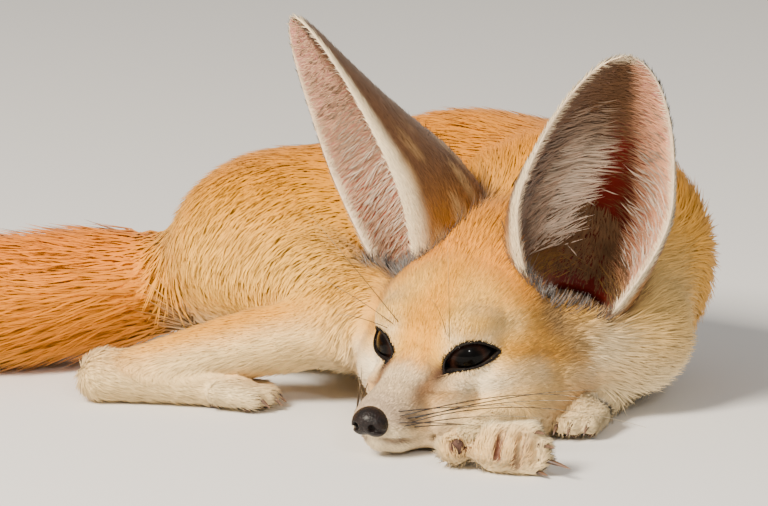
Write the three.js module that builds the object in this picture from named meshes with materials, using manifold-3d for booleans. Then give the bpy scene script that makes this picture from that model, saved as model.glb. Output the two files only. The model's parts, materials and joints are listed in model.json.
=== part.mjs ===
// A fennec fox lying curled on the floor, chin down, right forepaw turned up beside its mouth.
// Life size in millimetres. X runs along the trunk towards the chest, -Y faces the viewer,
// Z is up and the floor is z = 0. Every surface is the outline of the coat.
import * as THREE from "three";
import { mergeVertices } from "three/addons/utils/BufferGeometryUtils.js";
import Module from "manifold-3d";

const wasm = await Module();
wasm.setup();

const clearance = 0.3; // between neighbouring pieces
const degree = Math.PI / 180;

// The head's own frame starts midway between the eyes: F forward, L to the animal's left, U up.
const headPose = { midEyes: [12.8, -136.65, 30.7], yaw: 30.1, pitch: 4.7, roll: -1.9 };

// Ear, in the head's frame. It is a leaf rolled about the line from notch to tip, and the
// half angle of the roll falls from a near tube at the notch to a shallow trough at the tip.
const ear = {
  notch: [-38, 35.3, 7.8],
  tip: [-22.2, 64, 105.4],
  turn: 33.5 * degree,
  width: 56.7,
  widest: 0.37,
  baseWidth: 45,
  tipBluntness: 1.54,
  baseRoll: 140 * degree,
  tipRoll: 34.4 * degree,
  bow: -2.2,
  baseWall: 4.2,
  rimWall: 2.8,
  bottom: -0.1, // from 0 at the notch to 1 at the tip
  end: 0.997,
};

const eye = { centre: [-3.8, 12.4, 0], radius: 9 };
const tailRadius = 26;

// A toe reaches this far past the paw's end, and the outer toes sit further back.
const toe = { reach: 6, setBack: 1.6, length: 13, backSpread: 0.21, frontSpread: 0.26, droop: 1 };
const toeRadii = [4.6, 4.3];
const toeSlots = [-1.5, -0.5, 0.5, 1.5];
const claw = { reach: 9.6, buried: 2, length: 3, rise: 0.2, droop: 2, radii: [1.7, 0.6] };

function axesFrom({ yaw, pitch, roll }) {
  const [y, p, r] = [yaw * degree, pitch * degree, roll * degree];
  const F = new THREE.Vector3(-Math.sin(y) * Math.cos(p), -Math.cos(y) * Math.cos(p), -Math.sin(p));
  const level = new THREE.Vector3(Math.cos(y), -Math.sin(y), 0);
  const L = level.clone().multiplyScalar(Math.cos(r));
  L.addScaledVector(new THREE.Vector3().crossVectors(F, level), Math.sin(r));
  return { F, L, U: new THREE.Vector3().crossVectors(F, L) };
}

const headAxes = axesFrom(headPose);
const headFrame = { origin: new THREE.Vector3(...headPose.midEyes), ...headAxes };
const worldFrame = {
  origin: new THREE.Vector3(),
  F: new THREE.Vector3(1, 0, 0),
  L: new THREE.Vector3(0, 1, 0),
  U: new THREE.Vector3(0, 0, 1),
};

function inFrame(frame, [f, l, u]) {
  return frame.origin
    .clone()
    .addScaledVector(frame.F, f)
    .addScaledVector(frame.L, l)
    .addScaledVector(frame.U, u);
}

// Fields: each takes a point and gives its distance outside the shape, negative inside.

function ellipsoid(centre, [a, b, c], frame = worldFrame) {
  const o = inFrame(frame, centre);
  const { F, L, U } = frame;
  return (p) => {
    const [dx, dy, dz] = [p.x - o.x, p.y - o.y, p.z - o.z];
    const f = (dx * F.x + dy * F.y + dz * F.z) / a;
    const l = (dx * L.x + dy * L.y + dz * L.z) / b;
    const u = (dx * U.x + dy * U.y + dz * U.z) / c;
    const near = Math.hypot(f, l, u);
    const slope = Math.hypot(f / a, l / b, u / c);
    return slope < 1e-9 ? -Math.min(a, b, c) : (near * (near - 1)) / slope;
  };
}

function limb(start, end, startRadius, endRadius, frame = worldFrame) {
  const a = inFrame(frame, start);
  const b = inFrame(frame, end);
  const along = b.clone().sub(a);
  const lengthSquared = along.lengthSq();
  return (p) => {
    const [dx, dy, dz] = [p.x - a.x, p.y - a.y, p.z - a.z];
    const t = THREE.MathUtils.clamp((dx * along.x + dy * along.y + dz * along.z) / lengthSquared, 0, 1);
    const apart = Math.hypot(dx - along.x * t, dy - along.y * t, dz - along.z * t);
    return apart - THREE.MathUtils.lerp(startRadius, endRadius, t);
  };
}

function chain(joints, radii, frame = worldFrame) {
  const lengths = radii.slice(1).map((radius, i) => {
    return limb(joints[i], joints[i + 1], radii[i], radius, frame);
  });
  return (p) => Math.min(...lengths.map((length) => length(p)));
}

// Joins shapes, with their creases filled where two lie within the softness of each other.
function blend(softness, first, ...others) {
  return (p) => {
    let distance = first(p);
    for (const field of others) {
      const next = field(p);
      const overlap = Math.max(softness - Math.abs(distance - next), 0) / softness;
      distance = Math.min(distance, next) - (overlap * overlap * softness) / 4;
    }
    return distance;
  };
}

function hollowed(field, ...hollows) {
  return (p) => Math.max(field(p), ...hollows.map((hollow) => -hollow(p)));
}

function pair(make) {
  return [make(1), make(-1)];
}

function solidFrom(positions, triangles) {
  return new wasm.Manifold(
    new wasm.Mesh({
      numProp: 3,
      vertProperties: new Float32Array(positions),
      triVerts: new Uint32Array(triangles),
    }),
  );
}

function solidOf(geometry) {
  const bare = new THREE.BufferGeometry();
  bare.setAttribute("position", geometry.getAttribute("position"));
  bare.setIndex(geometry.getIndex());
  const merged = mergeVertices(bare, 1e-4);
  return solidFrom(merged.getAttribute("position").array, merged.getIndex().array);
}

// Where a ray from inside a field comes out of it: coarse steps find the stretch, halving the place.
const rayStep = 1.5;
const rayReach = 150;
const halvings = 14;

function surfaceAlong(field, from, way) {
  const at = new THREE.Vector3();
  const value = (r) => field(at.copy(from).addScaledVector(way, r));
  let outside = 0;
  while (value(outside) < 0 && outside < rayReach) outside += rayStep;
  let inside = Math.max(outside - rayStep, 0);
  for (let i = 0; i < halvings; i += 1) {
    const middle = (inside + outside) / 2;
    if (value(middle) < 0) inside = middle;
    else outside = middle;
  }
  return from.clone().addScaledVector(way, outside);
}

// Wraps a closed surface round a spine. Rays leave the spine square to it and fan out round
// its two ends, and each stops where it comes out of the field.
function wrap(field, spine, { rings, rays, caps = 4, side = new THREE.Vector3(0, 0, 1) }) {
  const curve = new THREE.CatmullRomCurve3(spine);
  const stations = [];
  for (let i = caps - 1; i > 0; i -= 1) stations.push([0, (-i / caps) * 90 * degree]);
  for (let i = 0; i <= rings; i += 1) stations.push([i / rings, 0]);
  for (let i = 1; i < caps; i += 1) stations.push([1, (i / caps) * 90 * degree]);

  const positions = [];
  const add = (from, way) => positions.push(...surfaceAlong(field, from, way).toArray());
  add(curve.getPointAt(0), curve.getTangentAt(0).negate());
  for (const [u, lean] of stations) {
    const from = curve.getPointAt(u);
    const along = curve.getTangentAt(u);
    const across = new THREE.Vector3().crossVectors(side, along).normalize();
    const over = new THREE.Vector3().crossVectors(along, across);
    for (let j = 0; j < rays; j += 1) {
      const turn = (2 * Math.PI * j) / rays;
      const way = across.clone().multiplyScalar(Math.cos(turn) * Math.cos(lean));
      way.addScaledVector(over, Math.sin(turn) * Math.cos(lean)).addScaledVector(along, Math.sin(lean));
      add(from, way);
    }
  }
  add(curve.getPointAt(1), curve.getTangentAt(1));

  const triangles = [];
  const last = stations.length * rays + 1;
  const vertex = (i, j) => 1 + i * rays + (j % rays);
  for (let j = 0; j < rays; j += 1) {
    triangles.push(0, vertex(0, j + 1), vertex(0, j));
    for (let i = 0; i < stations.length - 1; i += 1) {
      triangles.push(vertex(i, j), vertex(i, j + 1), vertex(i + 1, j + 1));
      triangles.push(vertex(i, j), vertex(i + 1, j + 1), vertex(i + 1, j));
    }
    triangles.push(last, vertex(stations.length - 1, j), vertex(stations.length - 1, j + 1));
  }
  return solidFrom(positions, triangles);
}

const floorSlab = solidOf(new THREE.BoxGeometry(1200, 1200, 200).translate(0, 0, -100));

function halfSpace(point, towards) {
  const turned = new THREE.Quaternion().setFromUnitVectors(new THREE.Vector3(0, 0, 1), towards);
  const box = new THREE.BoxGeometry(900, 900, 900).translate(0, 0, 450).applyQuaternion(turned);
  return solidOf(box.translate(point.x, point.y, point.z));
}

function largest(solid) {
  const bodies = solid.decompose();
  return bodies.reduce((best, body) => (body.volume() > best.volume() ? body : best));
}

function boxesMeet(a, b) {
  const [p, q] = [a.boundingBox(), b.boundingBox()];
  return [0, 1, 2].every((i) => p.min[i] < q.max[i] && q.min[i] < p.max[i]);
}

const fox = new THREE.Group();
const settled = []; // what is in place already, each grown by the clearance

const materials = {
  coat: new THREE.MeshStandardMaterial({ color: 0xd9a56b, roughness: 0.9, flatShading: true }),
  pale: new THREE.MeshStandardMaterial({ color: 0xe9dccb, roughness: 0.9, flatShading: true }),
  tail: new THREE.MeshStandardMaterial({ color: 0xc07a3a, roughness: 0.9, flatShading: true }),
  tailTip: new THREE.MeshStandardMaterial({ color: 0x2c211c, roughness: 0.9, flatShading: true }),
  skin: new THREE.MeshStandardMaterial({ color: 0xc99a93, roughness: 0.7, flatShading: true }),
  nose: new THREE.MeshStandardMaterial({ color: 0x2e2426, roughness: 0.45, flatShading: true }),
  eye: new THREE.MeshStandardMaterial({ color: 0x2a1610, roughness: 0.08 }),
  claw: new THREE.MeshStandardMaterial({ color: 0x8a6f58, roughness: 0.5, flatShading: true }),
};

// Adds one piece: what is already there and the floor are cut away from it.
function settle(name, material, solid, grown) {
  const near = settled.filter((other) => boxesMeet(other, solid));
  const cut = near.reduce((rest, other) => rest.subtract(other), solid).subtract(floorSlab);
  const { vertProperties, triVerts } = largest(cut).getMesh();
  const geometry = new THREE.BufferGeometry();
  geometry.setAttribute("position", new THREE.BufferAttribute(vertProperties, 3));
  geometry.setIndex(new THREE.BufferAttribute(triVerts, 1));
  geometry.computeVertexNormals();
  const mesh = new THREE.Mesh(geometry, material);
  mesh.name = name;
  fox.add(mesh);
  if (grown) settled.push(grown);
}

function settleWrapped(name, material, field, spine, detail) {
  const points = spine.map((point) => (point.isVector3 ? point : new THREE.Vector3(...point)));
  const grown = wrap((p) => field(p) - clearance, points, detail);
  settle(name, material, wrap(field, points, detail), grown);
}

const inHead = (...point) => inFrame(headFrame, point);

// Torso: chest, belly and rump run in one bend, and the neck curls back out of the chest.
const chestCentre = [70, -50, 46];
const bellyCentre = [24, -16, 47];
const rumpCentre = [-38, -12, 38];
const torsoSpine = [chestCentre, [48, -30, 47], bellyCentre, [-10, -12, 43], rumpCentre];
const torsoField = blend(
  16,
  ellipsoid(chestCentre, [47, 46, 46.5]),
  ellipsoid([48, -28, 46], [44, 42, 48]),
  ellipsoid(bellyCentre, [46, 42, 48]),
  ellipsoid([-12, -11, 42], [42, 40, 42]),
  ellipsoid(rumpCentre, [40, 40, 38.5]),
);
const neckField = blend(
  10,
  limb([38, -96, 36], [58, -66, 46], 34, 43),
  ellipsoid([70, -90, 28], [35, 34, 29]),
);

// Hind legs: hip, knee, hock and toes.
const rightHind = { hip: [-46, -26, 42], knee: [-10, -88, 31], hock: [-102, -80, 9], toes: [-50, -92, 6] };
const leftHind = { hip: [-40, 12, 38], knee: [-2, 42, 26], hock: [-78, 48, 9], toes: [-22, 62, 6] };

// Forelegs: elbow, wrist and toes.
const rightFore = { elbow: [64, -100, 11.5], wrist: [21, -180, 6.4], toes: [43, -190, 8] };
const leftFore = { elbow: [84, -70, 11.5], wrist: [72, -112, 6.4], toes: [62, -134, 6] };

function between(start, end, t) {
  return start.map((v, i) => v + (end[i] - v) * t);
}

// Head: eyes and nose go in first, and the skull is cut back from them.

for (const [name, side] of [["left", 1], ["right", -1]]) {
  const [f, l, u] = eye.centre;
  const centre = inHead(f, l * side, u);
  const ball = (radius) => solidOf(new THREE.SphereGeometry(radius, 12, 8).translate(...centre));
  settle(`eye_${name}`, materials.eye, ball(eye.radius), ball(eye.radius + clearance * 1.15));
}

const noseField = blend(
  2,
  ellipsoid([40.5, 0, -13.2], [5.5, 5.8, 4.6], headFrame),
  ...pair((side) => ellipsoid([41, 3 * side, -15], [4, 3.2, 3.4], headFrame)),
);
settleWrapped("nose", materials.nose, noseField, [inHead(38, 0, -14), inHead(41.5, 0, -14)], {
  rings: 2, rays: 10, caps: 3,
});

function paw(name, material, legEnd, toesEnd, { spread, height, claws = true, padsUp = 0 }) {
  const start = new THREE.Vector3(...legEnd);
  const end = new THREE.Vector3(...toesEnd);
  const along = end.clone().sub(start).normalize();
  const lift = padsUp ? new THREE.Vector3(0, -1, 0) : new THREE.Vector3(0, 0, 1);
  const across = new THREE.Vector3().crossVectors(lift, along).normalize();
  const over = new THREE.Vector3().crossVectors(along, across);
  const frame = { origin: end, F: along, L: across, U: over };
  const length = end.distanceTo(start);
  const toes = toeSlots.map((slot) => {
    const reach = toe.reach - toe.setBack * slot * slot;
    const back = [reach - toe.length, slot * spread * toe.backSpread, 0];
    return limb(back, [reach, slot * spread * toe.frontSpread, -toe.droop], ...toeRadii, frame);
  });
  const field = blend(
    4,
    ellipsoid([-length * 0.35, 0, 0], [length * 0.5, spread * 0.42, height * 0.5], frame),
    ...toes,
  );
  const spine = [inFrame(frame, [-length * 0.55, 0, 0]), inFrame(frame, [0, 0, 0])];
  settleWrapped(name, material, field, spine, { rings: 4, rays: 11, caps: 3, side: over });
  if (!claws) return;
  for (const [i, slot] of toeSlots.entries()) {
    const reach = claw.reach - toe.setBack * slot * slot;
    const y = slot * spread * toe.frontSpread;
    const root = [reach - claw.buried, y, claw.rise];
    const tip = [reach + claw.length, y, -claw.droop];
    const field = limb(root, tip, ...claw.radii, frame);
    const spine = [inFrame(frame, root), inFrame(frame, tip)];
    settleWrapped(`${name}_claw_${i + 1}`, materials.claw, field, spine, { rings: 1, rays: 4, caps: 2 });
  }
}

paw("right_forepaw", materials.pale, rightFore.wrist, rightFore.toes, { spread: 17, height: 15, padsUp: 1 });
paw("left_forepaw", materials.pale, leftFore.wrist, leftFore.toes, { spread: 18, height: 14 });

const skull = blend(
  7,
  ellipsoid([-32, 0, 2], [32, 34, 27], headFrame),
  ellipsoid([-14, 0, 2], [22, 21, 15], headFrame),
  limb([8, 0, -10], [35, 0, -14.5], 12.6, 7.6, headFrame),
  ...pair((side) => ellipsoid([-18, 19 * side, -11], [21, 17, 17], headFrame)),
  ...pair((side) => ellipsoid([-35, 24 * side, -12], [20, 18, 20], headFrame)),
  ...pair((side) => ellipsoid([5, 11 * side, -12], [13, 8.5, 8], headFrame)),
  ...pair((side) => ellipsoid([-4, 14 * side, 9], [11, 9, 7], headFrame)),
  ...pair((side) => ellipsoid([29, 5.5 * side, -17], [9, 6, 6], headFrame)),
  ...pair((side) => ellipsoid([-50, 26 * side, 3], [22, 22, 21], headFrame)),
  ellipsoid([-46, 0, 12], [22, 26, 25], headFrame),
  ellipsoid([-20, 25, -20], [20, 15, 14], headFrame),
  ellipsoid([6, 17, -23], [19, 11, 8], headFrame),
);

// Each eye opening is a slit, cut along the line from its inner to its outer corner.
const slitFrame = (side) => {
  const along = inHead(-17.5, 14.3 * side, 4.7).sub(inHead(0, 0, 0)).normalize();
  const out = inHead(0.633, 0.774 * side, 0).sub(inHead(0, 0, 0)).normalize();
  out.addScaledVector(along, -out.dot(along)).normalize();
  const up = new THREE.Vector3().crossVectors(along, out);
  return { origin: inHead(1, 18.2 * side, 0), F: along, L: out, U: up };
};
const skullField = hollowed(skull, ...pair((side) => ellipsoid([0, 0, 0], [10.5, 4, 5], slitFrame(side))));
settleWrapped(
  "head",
  materials.coat,
  skullField,
  [inHead(-38, 0, 0), inHead(-15, 0, -2), inHead(8, 0, -9), inHead(34, 0, -14.5)],
  { rings: 11, rays: 18, caps: 4 },
);

const jawField = blend(
  4,
  limb([35, 0, -21.5], [2, 0, -23.5], 4.2, 8, headFrame),
  limb([2, 0, -23.5], [-20, 0, -20], 8, 13, headFrame),
);
settleWrapped(
  "lower_jaw",
  materials.pale,
  jawField,
  [inHead(-16, 0, -21), inHead(2, 0, -23.5), inHead(34, 0, -21.5)],
  { rings: 5, rays: 10, caps: 3 },
);

function foreleg(side, { elbow, wrist }) {
  const field = chain([elbow, between(elbow, wrist, 0.5), wrist], [12, 8.6, 6.8]);
  const spine = [between(elbow, wrist, 0.05), between(elbow, wrist, 0.5), between(elbow, wrist, 0.96)];
  settleWrapped(`${side}_foreleg`, materials.pale, field, spine, { rings: 4, rays: 8, caps: 2 });
}

foreleg("right", rightFore);
foreleg("left", leftFore);

function earShape(side, t) {
  const notch = new THREE.Vector3(ear.notch[0], ear.notch[1] * side, ear.notch[2]);
  const tip = new THREE.Vector3(ear.tip[0], ear.tip[1] * side, ear.tip[2]);
  const along = tip.clone().sub(notch).normalize();
  const open = new THREE.Vector3(Math.cos(ear.turn), Math.sin(ear.turn) * side, 0);
  open.addScaledVector(along, -open.dot(along)).normalize();
  const outward = new THREE.Vector3().crossVectors(along, open).multiplyScalar(-1);
  const below = (ear.widest - t) / ear.widest;
  const above = (t - ear.widest) / (1 - ear.widest);
  const width =
    t < ear.widest
      ? ear.width - (ear.width - ear.baseWidth) * below * below
      : ear.width * Math.sqrt(1 - above ** ear.tipBluntness);
  const roll = THREE.MathUtils.lerp(ear.baseRoll, ear.tipRoll, t);
  const radius = roll < Math.PI / 2 ? width / 2 / Math.sin(roll) : width / 2;
  const middle = notch.lerp(tip, t).addScaledVector(open, ear.bow * Math.sin(Math.PI * t));
  return (across, inset) => {
    const angle = across * roll;
    const r = radius - inset;
    return inHead(
      ...middle
        .clone()
        .addScaledVector(open, radius * Math.cos(roll) - r * Math.cos(angle))
        .addScaledVector(outward, r * Math.sin(angle))
        .toArray(),
    );
  };
}

// A leaf of two faces, the back and the hollow, joined along its rim. Filled, its front face
// runs straight across the mouth instead.
function earSolid(side, { extra = 0, filled = false } = {}) {
  const heights = 9;
  const across = 10;
  const bunching = 1.8; // the rows lie closer together towards the tip
  const positions = [];
  const triangles = [];
  for (const face of [0, 1]) {
    for (let i = 0; i <= heights; i += 1) {
      const part = i / heights;
      const end = ear.end + extra * 0.003;
      const t = THREE.MathUtils.lerp(ear.bottom, end, 1 - (1 - part) ** bunching);
      const point = earShape(side, t);
      const wall = THREE.MathUtils.lerp(ear.baseWall, ear.rimWall, THREE.MathUtils.clamp(t, 0, 1));
      for (let j = 0; j <= across; j += 1) {
        const rim = 1 + extra * 0.012;
        const inner = filled
          ? point(-rim, -extra).lerp(point(rim, -extra), j / across)
          : point(((2 * j) / across - 1) * rim, wall + extra);
        const outer = point(((2 * j) / across - 1) * rim, -extra);
        positions.push(...(face ? inner : outer).toArray());
      }
    }
  }
  const vertex = (face, i, j) => (face * (heights + 1) + i) * (across + 1) + j;
  const quad = (a, b, c, d) => {
    triangles.push(a, c, b, a, d, c);
  };
  for (let i = 0; i < heights; i += 1) {
    for (let j = 0; j < across; j += 1) {
      quad(vertex(0, i, j), vertex(0, i + 1, j), vertex(0, i + 1, j + 1), vertex(0, i, j + 1));
      quad(vertex(1, i, j), vertex(1, i, j + 1), vertex(1, i + 1, j + 1), vertex(1, i + 1, j));
    }
    quad(vertex(0, i, 0), vertex(1, i, 0), vertex(1, i + 1, 0), vertex(0, i + 1, 0));
    quad(vertex(0, i, across), vertex(0, i + 1, across), vertex(1, i + 1, across), vertex(1, i, across));
  }
  for (let j = 0; j < across; j += 1) {
    quad(vertex(0, 0, j), vertex(0, 0, j + 1), vertex(1, 0, j + 1), vertex(1, 0, j));
    quad(vertex(0, heights, j), vertex(1, heights, j), vertex(1, heights, j + 1), vertex(0, heights, j + 1));
  }
  return solidFrom(positions, triangles);
}

for (const [name, side] of [["left", 1], ["right", -1]]) {
  settle(`ear_${name}`, materials.skin, earSolid(side), earSolid(side, { extra: clearance, filled: true }));
}

// The torso is wrapped whole and parted by two thin cuts.

const torsoPoints = torsoSpine.map((point) => new THREE.Vector3(...point));
const torsoDetail = { rings: 8, rays: 14, caps: 4 };
const torso = wrap(torsoField, torsoPoints, torsoDetail);
const cuts = [new THREE.Vector3(46, -28, 50), new THREE.Vector3(-14, -9, 50)];
const towardsChest = [new THREE.Vector3(1, -0.55, 0).normalize(), new THREE.Vector3(1, -0.05, 0).normalize()];
const chestSide = cuts.map((at, i) => halfSpace(at, towardsChest[i]));
const rumpSide = cuts.map((at, i) => {
  const away = towardsChest[i].clone().negate();
  return halfSpace(at.clone().addScaledVector(away, clearance), away);
});
settle("chest", materials.coat, torso.intersect(chestSide[0]));
settle("belly", materials.coat, torso.intersect(rumpSide[0]).intersect(chestSide[1]));
settle("rump", materials.coat, torso.intersect(rumpSide[1]));
settled.push(wrap((p) => torsoField(p) - clearance, torsoPoints, torsoDetail));

const backwards = headAxes.F.clone().negate();
const neckPoints = [[40, -96, 36], [50, -80, 41], [60, -66, 44]].map((point) => new THREE.Vector3(...point));
const neck = (extra) => wrap((p) => neckField(p) - extra, neckPoints, { rings: 4, rays: 11, caps: 3 });
settle("neck", materials.coat, neck(0).intersect(halfSpace(inHead(-44, 0, 0), backwards)), neck(clearance));

function hindLeg(side, { hip, knee, hock, toes }) {
  const ball = between(hock, toes, 0.7);
  paw(`${side}_hind_toes`, materials.pale, between(hock, toes, 0.62), toes, { spread: 20, height: 14 });
  const footField = chain([hock, between(hock, toes, 0.4), ball], [9.6, 7.8, 7.4]);
  settleWrapped(`${side}_hind_foot`, materials.pale, footField, [hock, between(hock, toes, 0.4), ball], {
    rings: 3, rays: 8, caps: 2,
  });
  const thighField = blend(10, limb(hip, knee, 31, 18), ellipsoid(hip, [36, 33, 35]));
  settleWrapped(`${side}_thigh`, materials.coat, thighField, [hip, between(hip, knee, 0.95)], {
    rings: 4, rays: 11, caps: 3,
  });
  const shankField = chain([knee, between(knee, hock, 0.5), hock], [15.5, 12.5, 7.6]);
  const shankSpine = [between(knee, hock, 0.05), between(knee, hock, 0.97)];
  settleWrapped(`${side}_shank`, materials.pale, shankField, shankSpine, { rings: 4, rays: 8, caps: 2 });
}

hindLeg("right", rightHind);
hindLeg("left", leftHind);

const tailSpine = [[-64, -6, 31], [-128, -24, 26], [-196, -42, 25.4], [-258, -68, 22.8], [-296, -98, 16]];
const tailRadii = [24, tailRadius, tailRadius, tailRadius * 0.9, tailRadius * 0.62];
const tailField = blend(12, chain(tailSpine, tailRadii), ellipsoid([-304, -106, 14.5], [18, 18, 15]));
const tailCurve = new THREE.CatmullRomCurve3(tailSpine.map((point) => new THREE.Vector3(...point)));
const tailPieces = [
  ["tail_base", 0, 0.34, materials.tail],
  ["tail_middle", 0.34, 0.68, materials.tail],
  ["tail_end", 0.68, 0.88, materials.tail],
  ["tail_tip", 0.88, 1, materials.tailTip],
];
const tail = wrap(tailField, tailCurve.getSpacedPoints(8), { rings: 10, rays: 11, caps: 3 });
for (const [name, from, to, material] of tailPieces) {
  let piece = tail;
  if (from > 0) piece = piece.intersect(halfSpace(tailCurve.getPointAt(from), tailCurve.getTangentAt(from)));
  if (to < 1) {
    const back = tailCurve.getTangentAt(to).negate();
    piece = piece.intersect(halfSpace(tailCurve.getPointAt(to).addScaledVector(back, clearance), back));
  }
  settle(name, material, piece);
}

// The origin is on the floor, under the middle of the whole animal.
const extent = new THREE.Box3().setFromObject(fox);
fox.position.set(-(extent.min.x + extent.max.x) / 2, -(extent.min.y + extent.max.y) / 2, 0);

export default fox;
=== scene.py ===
# A fennec fox lying curled with its chin on the ground: one skin, the coat grown from it, and its
# eyes, nose, claws, pads and whiskers. Shapes are worked out in the model's own millimetres, and
# every mesh goes to the frame's metres as it is made.
import json
import math
import time
import bpy
import numpy as np
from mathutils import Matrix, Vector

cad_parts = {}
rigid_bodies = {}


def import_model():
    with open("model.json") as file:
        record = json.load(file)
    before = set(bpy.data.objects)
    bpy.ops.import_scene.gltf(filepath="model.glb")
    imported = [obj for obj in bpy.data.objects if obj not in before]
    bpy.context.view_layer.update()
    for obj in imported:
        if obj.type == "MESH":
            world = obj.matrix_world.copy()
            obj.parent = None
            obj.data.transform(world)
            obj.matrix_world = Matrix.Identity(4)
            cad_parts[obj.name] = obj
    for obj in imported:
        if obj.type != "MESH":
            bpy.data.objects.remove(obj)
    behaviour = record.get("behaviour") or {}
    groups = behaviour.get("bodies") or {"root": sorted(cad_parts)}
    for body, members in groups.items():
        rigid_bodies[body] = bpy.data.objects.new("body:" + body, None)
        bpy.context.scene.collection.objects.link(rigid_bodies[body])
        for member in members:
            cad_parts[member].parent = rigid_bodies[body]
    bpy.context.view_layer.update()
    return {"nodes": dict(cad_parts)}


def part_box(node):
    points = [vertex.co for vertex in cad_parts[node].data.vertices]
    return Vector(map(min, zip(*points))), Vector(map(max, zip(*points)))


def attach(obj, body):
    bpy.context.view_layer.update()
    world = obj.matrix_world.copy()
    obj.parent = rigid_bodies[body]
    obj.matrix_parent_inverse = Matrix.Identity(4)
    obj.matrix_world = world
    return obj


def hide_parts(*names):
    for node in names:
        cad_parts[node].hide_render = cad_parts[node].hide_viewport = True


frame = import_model()
startTime = time.time()


def report(words):
    print(f"fox: {words}, {time.time() - startTime:.0f} s")


# What the whole animal is placed by. The head's frame starts midway between the eyes.
headPose = dict(midEyes=(12.8, -136.65, 30.7), yaw=30.1, pitch=4.7, roll=-1.9)
eyeSpec = dict(
    centre=(-3.8, 12.4, 0.0), ball=(10.4, 9.3, 9.1), cornea=0.5, gaze=(-0.3, 0.02, 1.0), pupil=3.9,
    iris=7.6, slitAlong=(-17.5, 14.3, 4.7), slitOut=(0.633, 0.774, 0.0), slitMiddle=(-1.6, -0.7),
    slitTilt=0.035, halfWidth=10.6, upperLid=7.2, lowerLid=1.5, upperSkew=0.14, lowerSkew=-0.3,
    rimWidth=0.42, rimThick=0.4, rimRise=0.12, mound=(11.6, 10.2, 10.0), corneaAngle=0.72,
)


def unit(v):
    v = np.asarray(v, float)
    return v / np.maximum(np.linalg.norm(v, axis=-1, keepdims=True), 1e-9)


def axesFrom(yaw, pitch, roll):
    y, p, r = (math.radians(a) for a in (yaw, pitch, roll))
    forward = np.array([-math.sin(y) * math.cos(p), -math.cos(y) * math.cos(p), -math.sin(p)])
    level = np.array([math.cos(y), -math.sin(y), 0.0])
    left = level * math.cos(r) + np.cross(forward, level) * math.sin(r)
    return np.array([forward, left, np.cross(forward, left)])


worldFrame = (np.zeros(3), np.eye(3))
headFrame = (np.array(headPose["midEyes"]), axesFrom(headPose["yaw"], headPose["pitch"], headPose["roll"]))


def place(points, at=headFrame):
    return at[0] + np.asarray(points, float) @ at[1]


def inHead(points):
    return (points - headFrame[0]) @ headFrame[1].T


# The eye's node tells where the model stands in the frame.
eyeLow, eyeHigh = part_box("eye_left")
modelShift = (np.array(eyeLow) + np.array(eyeHigh)) * 500 - place(eyeSpec["centre"])


def toFrame(points):
    return (np.asarray(points, float) + modelShift) / 1000


# Fields take points and give their distance outside a shape, negative inside.
def ellipsoid(centre, radii, at=worldFrame):
    middle, radii = place(centre, at), np.array(radii, float)

    def field(p):
        q = ((p - middle) @ at[1].T) / radii
        near = np.sqrt((q * q).sum(1))
        q = q / radii
        slope = np.sqrt((q * q).sum(1))
        return np.where(slope < 1e-9, -radii.min(), near * (near - 1) / np.maximum(slope, 1e-9))
    return field


def limb(start, end, startRadius, endRadius, at=worldFrame):
    a, b = place(start, at), place(end, at)
    along = b - a

    def field(p):
        q = p - a
        t = np.clip(q @ along / (along @ along), 0, 1)
        q = q - t[:, None] * along
        return np.sqrt((q * q).sum(1)) - (startRadius + (endRadius - startRadius) * t)
    return field


def chain(joints, radii, at=worldFrame):
    return joined(*[limb(*ends, *sizes, at) for ends, sizes in zip(
        zip(joints[:-1], joints[1:]), zip(radii[:-1], radii[1:]))])


def joined(*fields):
    return lambda p: np.minimum.reduce([f(p) for f in fields])


def softMin(a, b, softness):
    overlap = np.maximum(softness - np.abs(a - b), 0) / softness
    return np.minimum(a, b) - overlap * overlap * softness / 4


def blend(softness, first, *others):
    def field(p):
        distance = first(p)
        for other in others:
            distance = softMin(distance, other(p), softness)
        return distance
    return field


def hollowed(field, softness, *hollows):
    def cut(p):
        distance = field(p)
        for hollow in hollows:
            distance = -softMin(-distance, hollow(p), softness)
        return distance
    return cut


def inset(field, depth):
    return lambda p: field(p) + (depth(p) if callable(depth) else depth)


def pair(make):
    return [make(1), make(-1)]


def ramp(x, low, high):
    t = np.clip((x - low) / (high - low), 0, 1)
    return t * t * (3 - 2 * t)


def slopeOf(field, p, step=0.3):
    slope = np.empty_like(p)
    for axis in range(3):
        shift = np.zeros(3)
        shift[axis] = step
        slope[:, axis] = field(p + shift) - field(p - shift)
    return slope / (2 * step)


def settle(field, p, rounds=2, longest=1.5):
    for i in range(rounds):
        slope = slopeOf(field, p)
        move = field(p)[:, None] * slope / np.maximum((slope * slope).sum(1), 0.05)[:, None]
        size = np.linalg.norm(move, axis=1, keepdims=True)
        p = p - move * np.minimum(1, longest / np.maximum(size, 1e-9))
    return p


# How far up from a frame's level the surface lies, over places (a, b).
def heightOver(field, at, a, b, sign=1, heights=np.arange(-2, 16, 0.05)):
    a, b = np.broadcast_arrays(np.asarray(a, float)[..., None], np.asarray(b, float)[..., None])
    a, b, h = np.broadcast_arrays(a, b, heights)
    spots = place(np.stack([a, b, sign * h], -1).reshape(-1, 3), at)
    inside = field(spots).reshape(a.shape) < 0
    return heights[len(heights) - 1 - np.argmax(inside[..., ::-1], -1)]


def gridLine(low, high, fineLow, fineHigh, fine, coarse):
    before = np.arange(fineLow, low - coarse, -coarse)[:0:-1]
    after = np.arange(fineHigh, high + coarse, coarse)
    return np.concatenate([before, np.arange(fineLow, fineHigh, fine), after])


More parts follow.
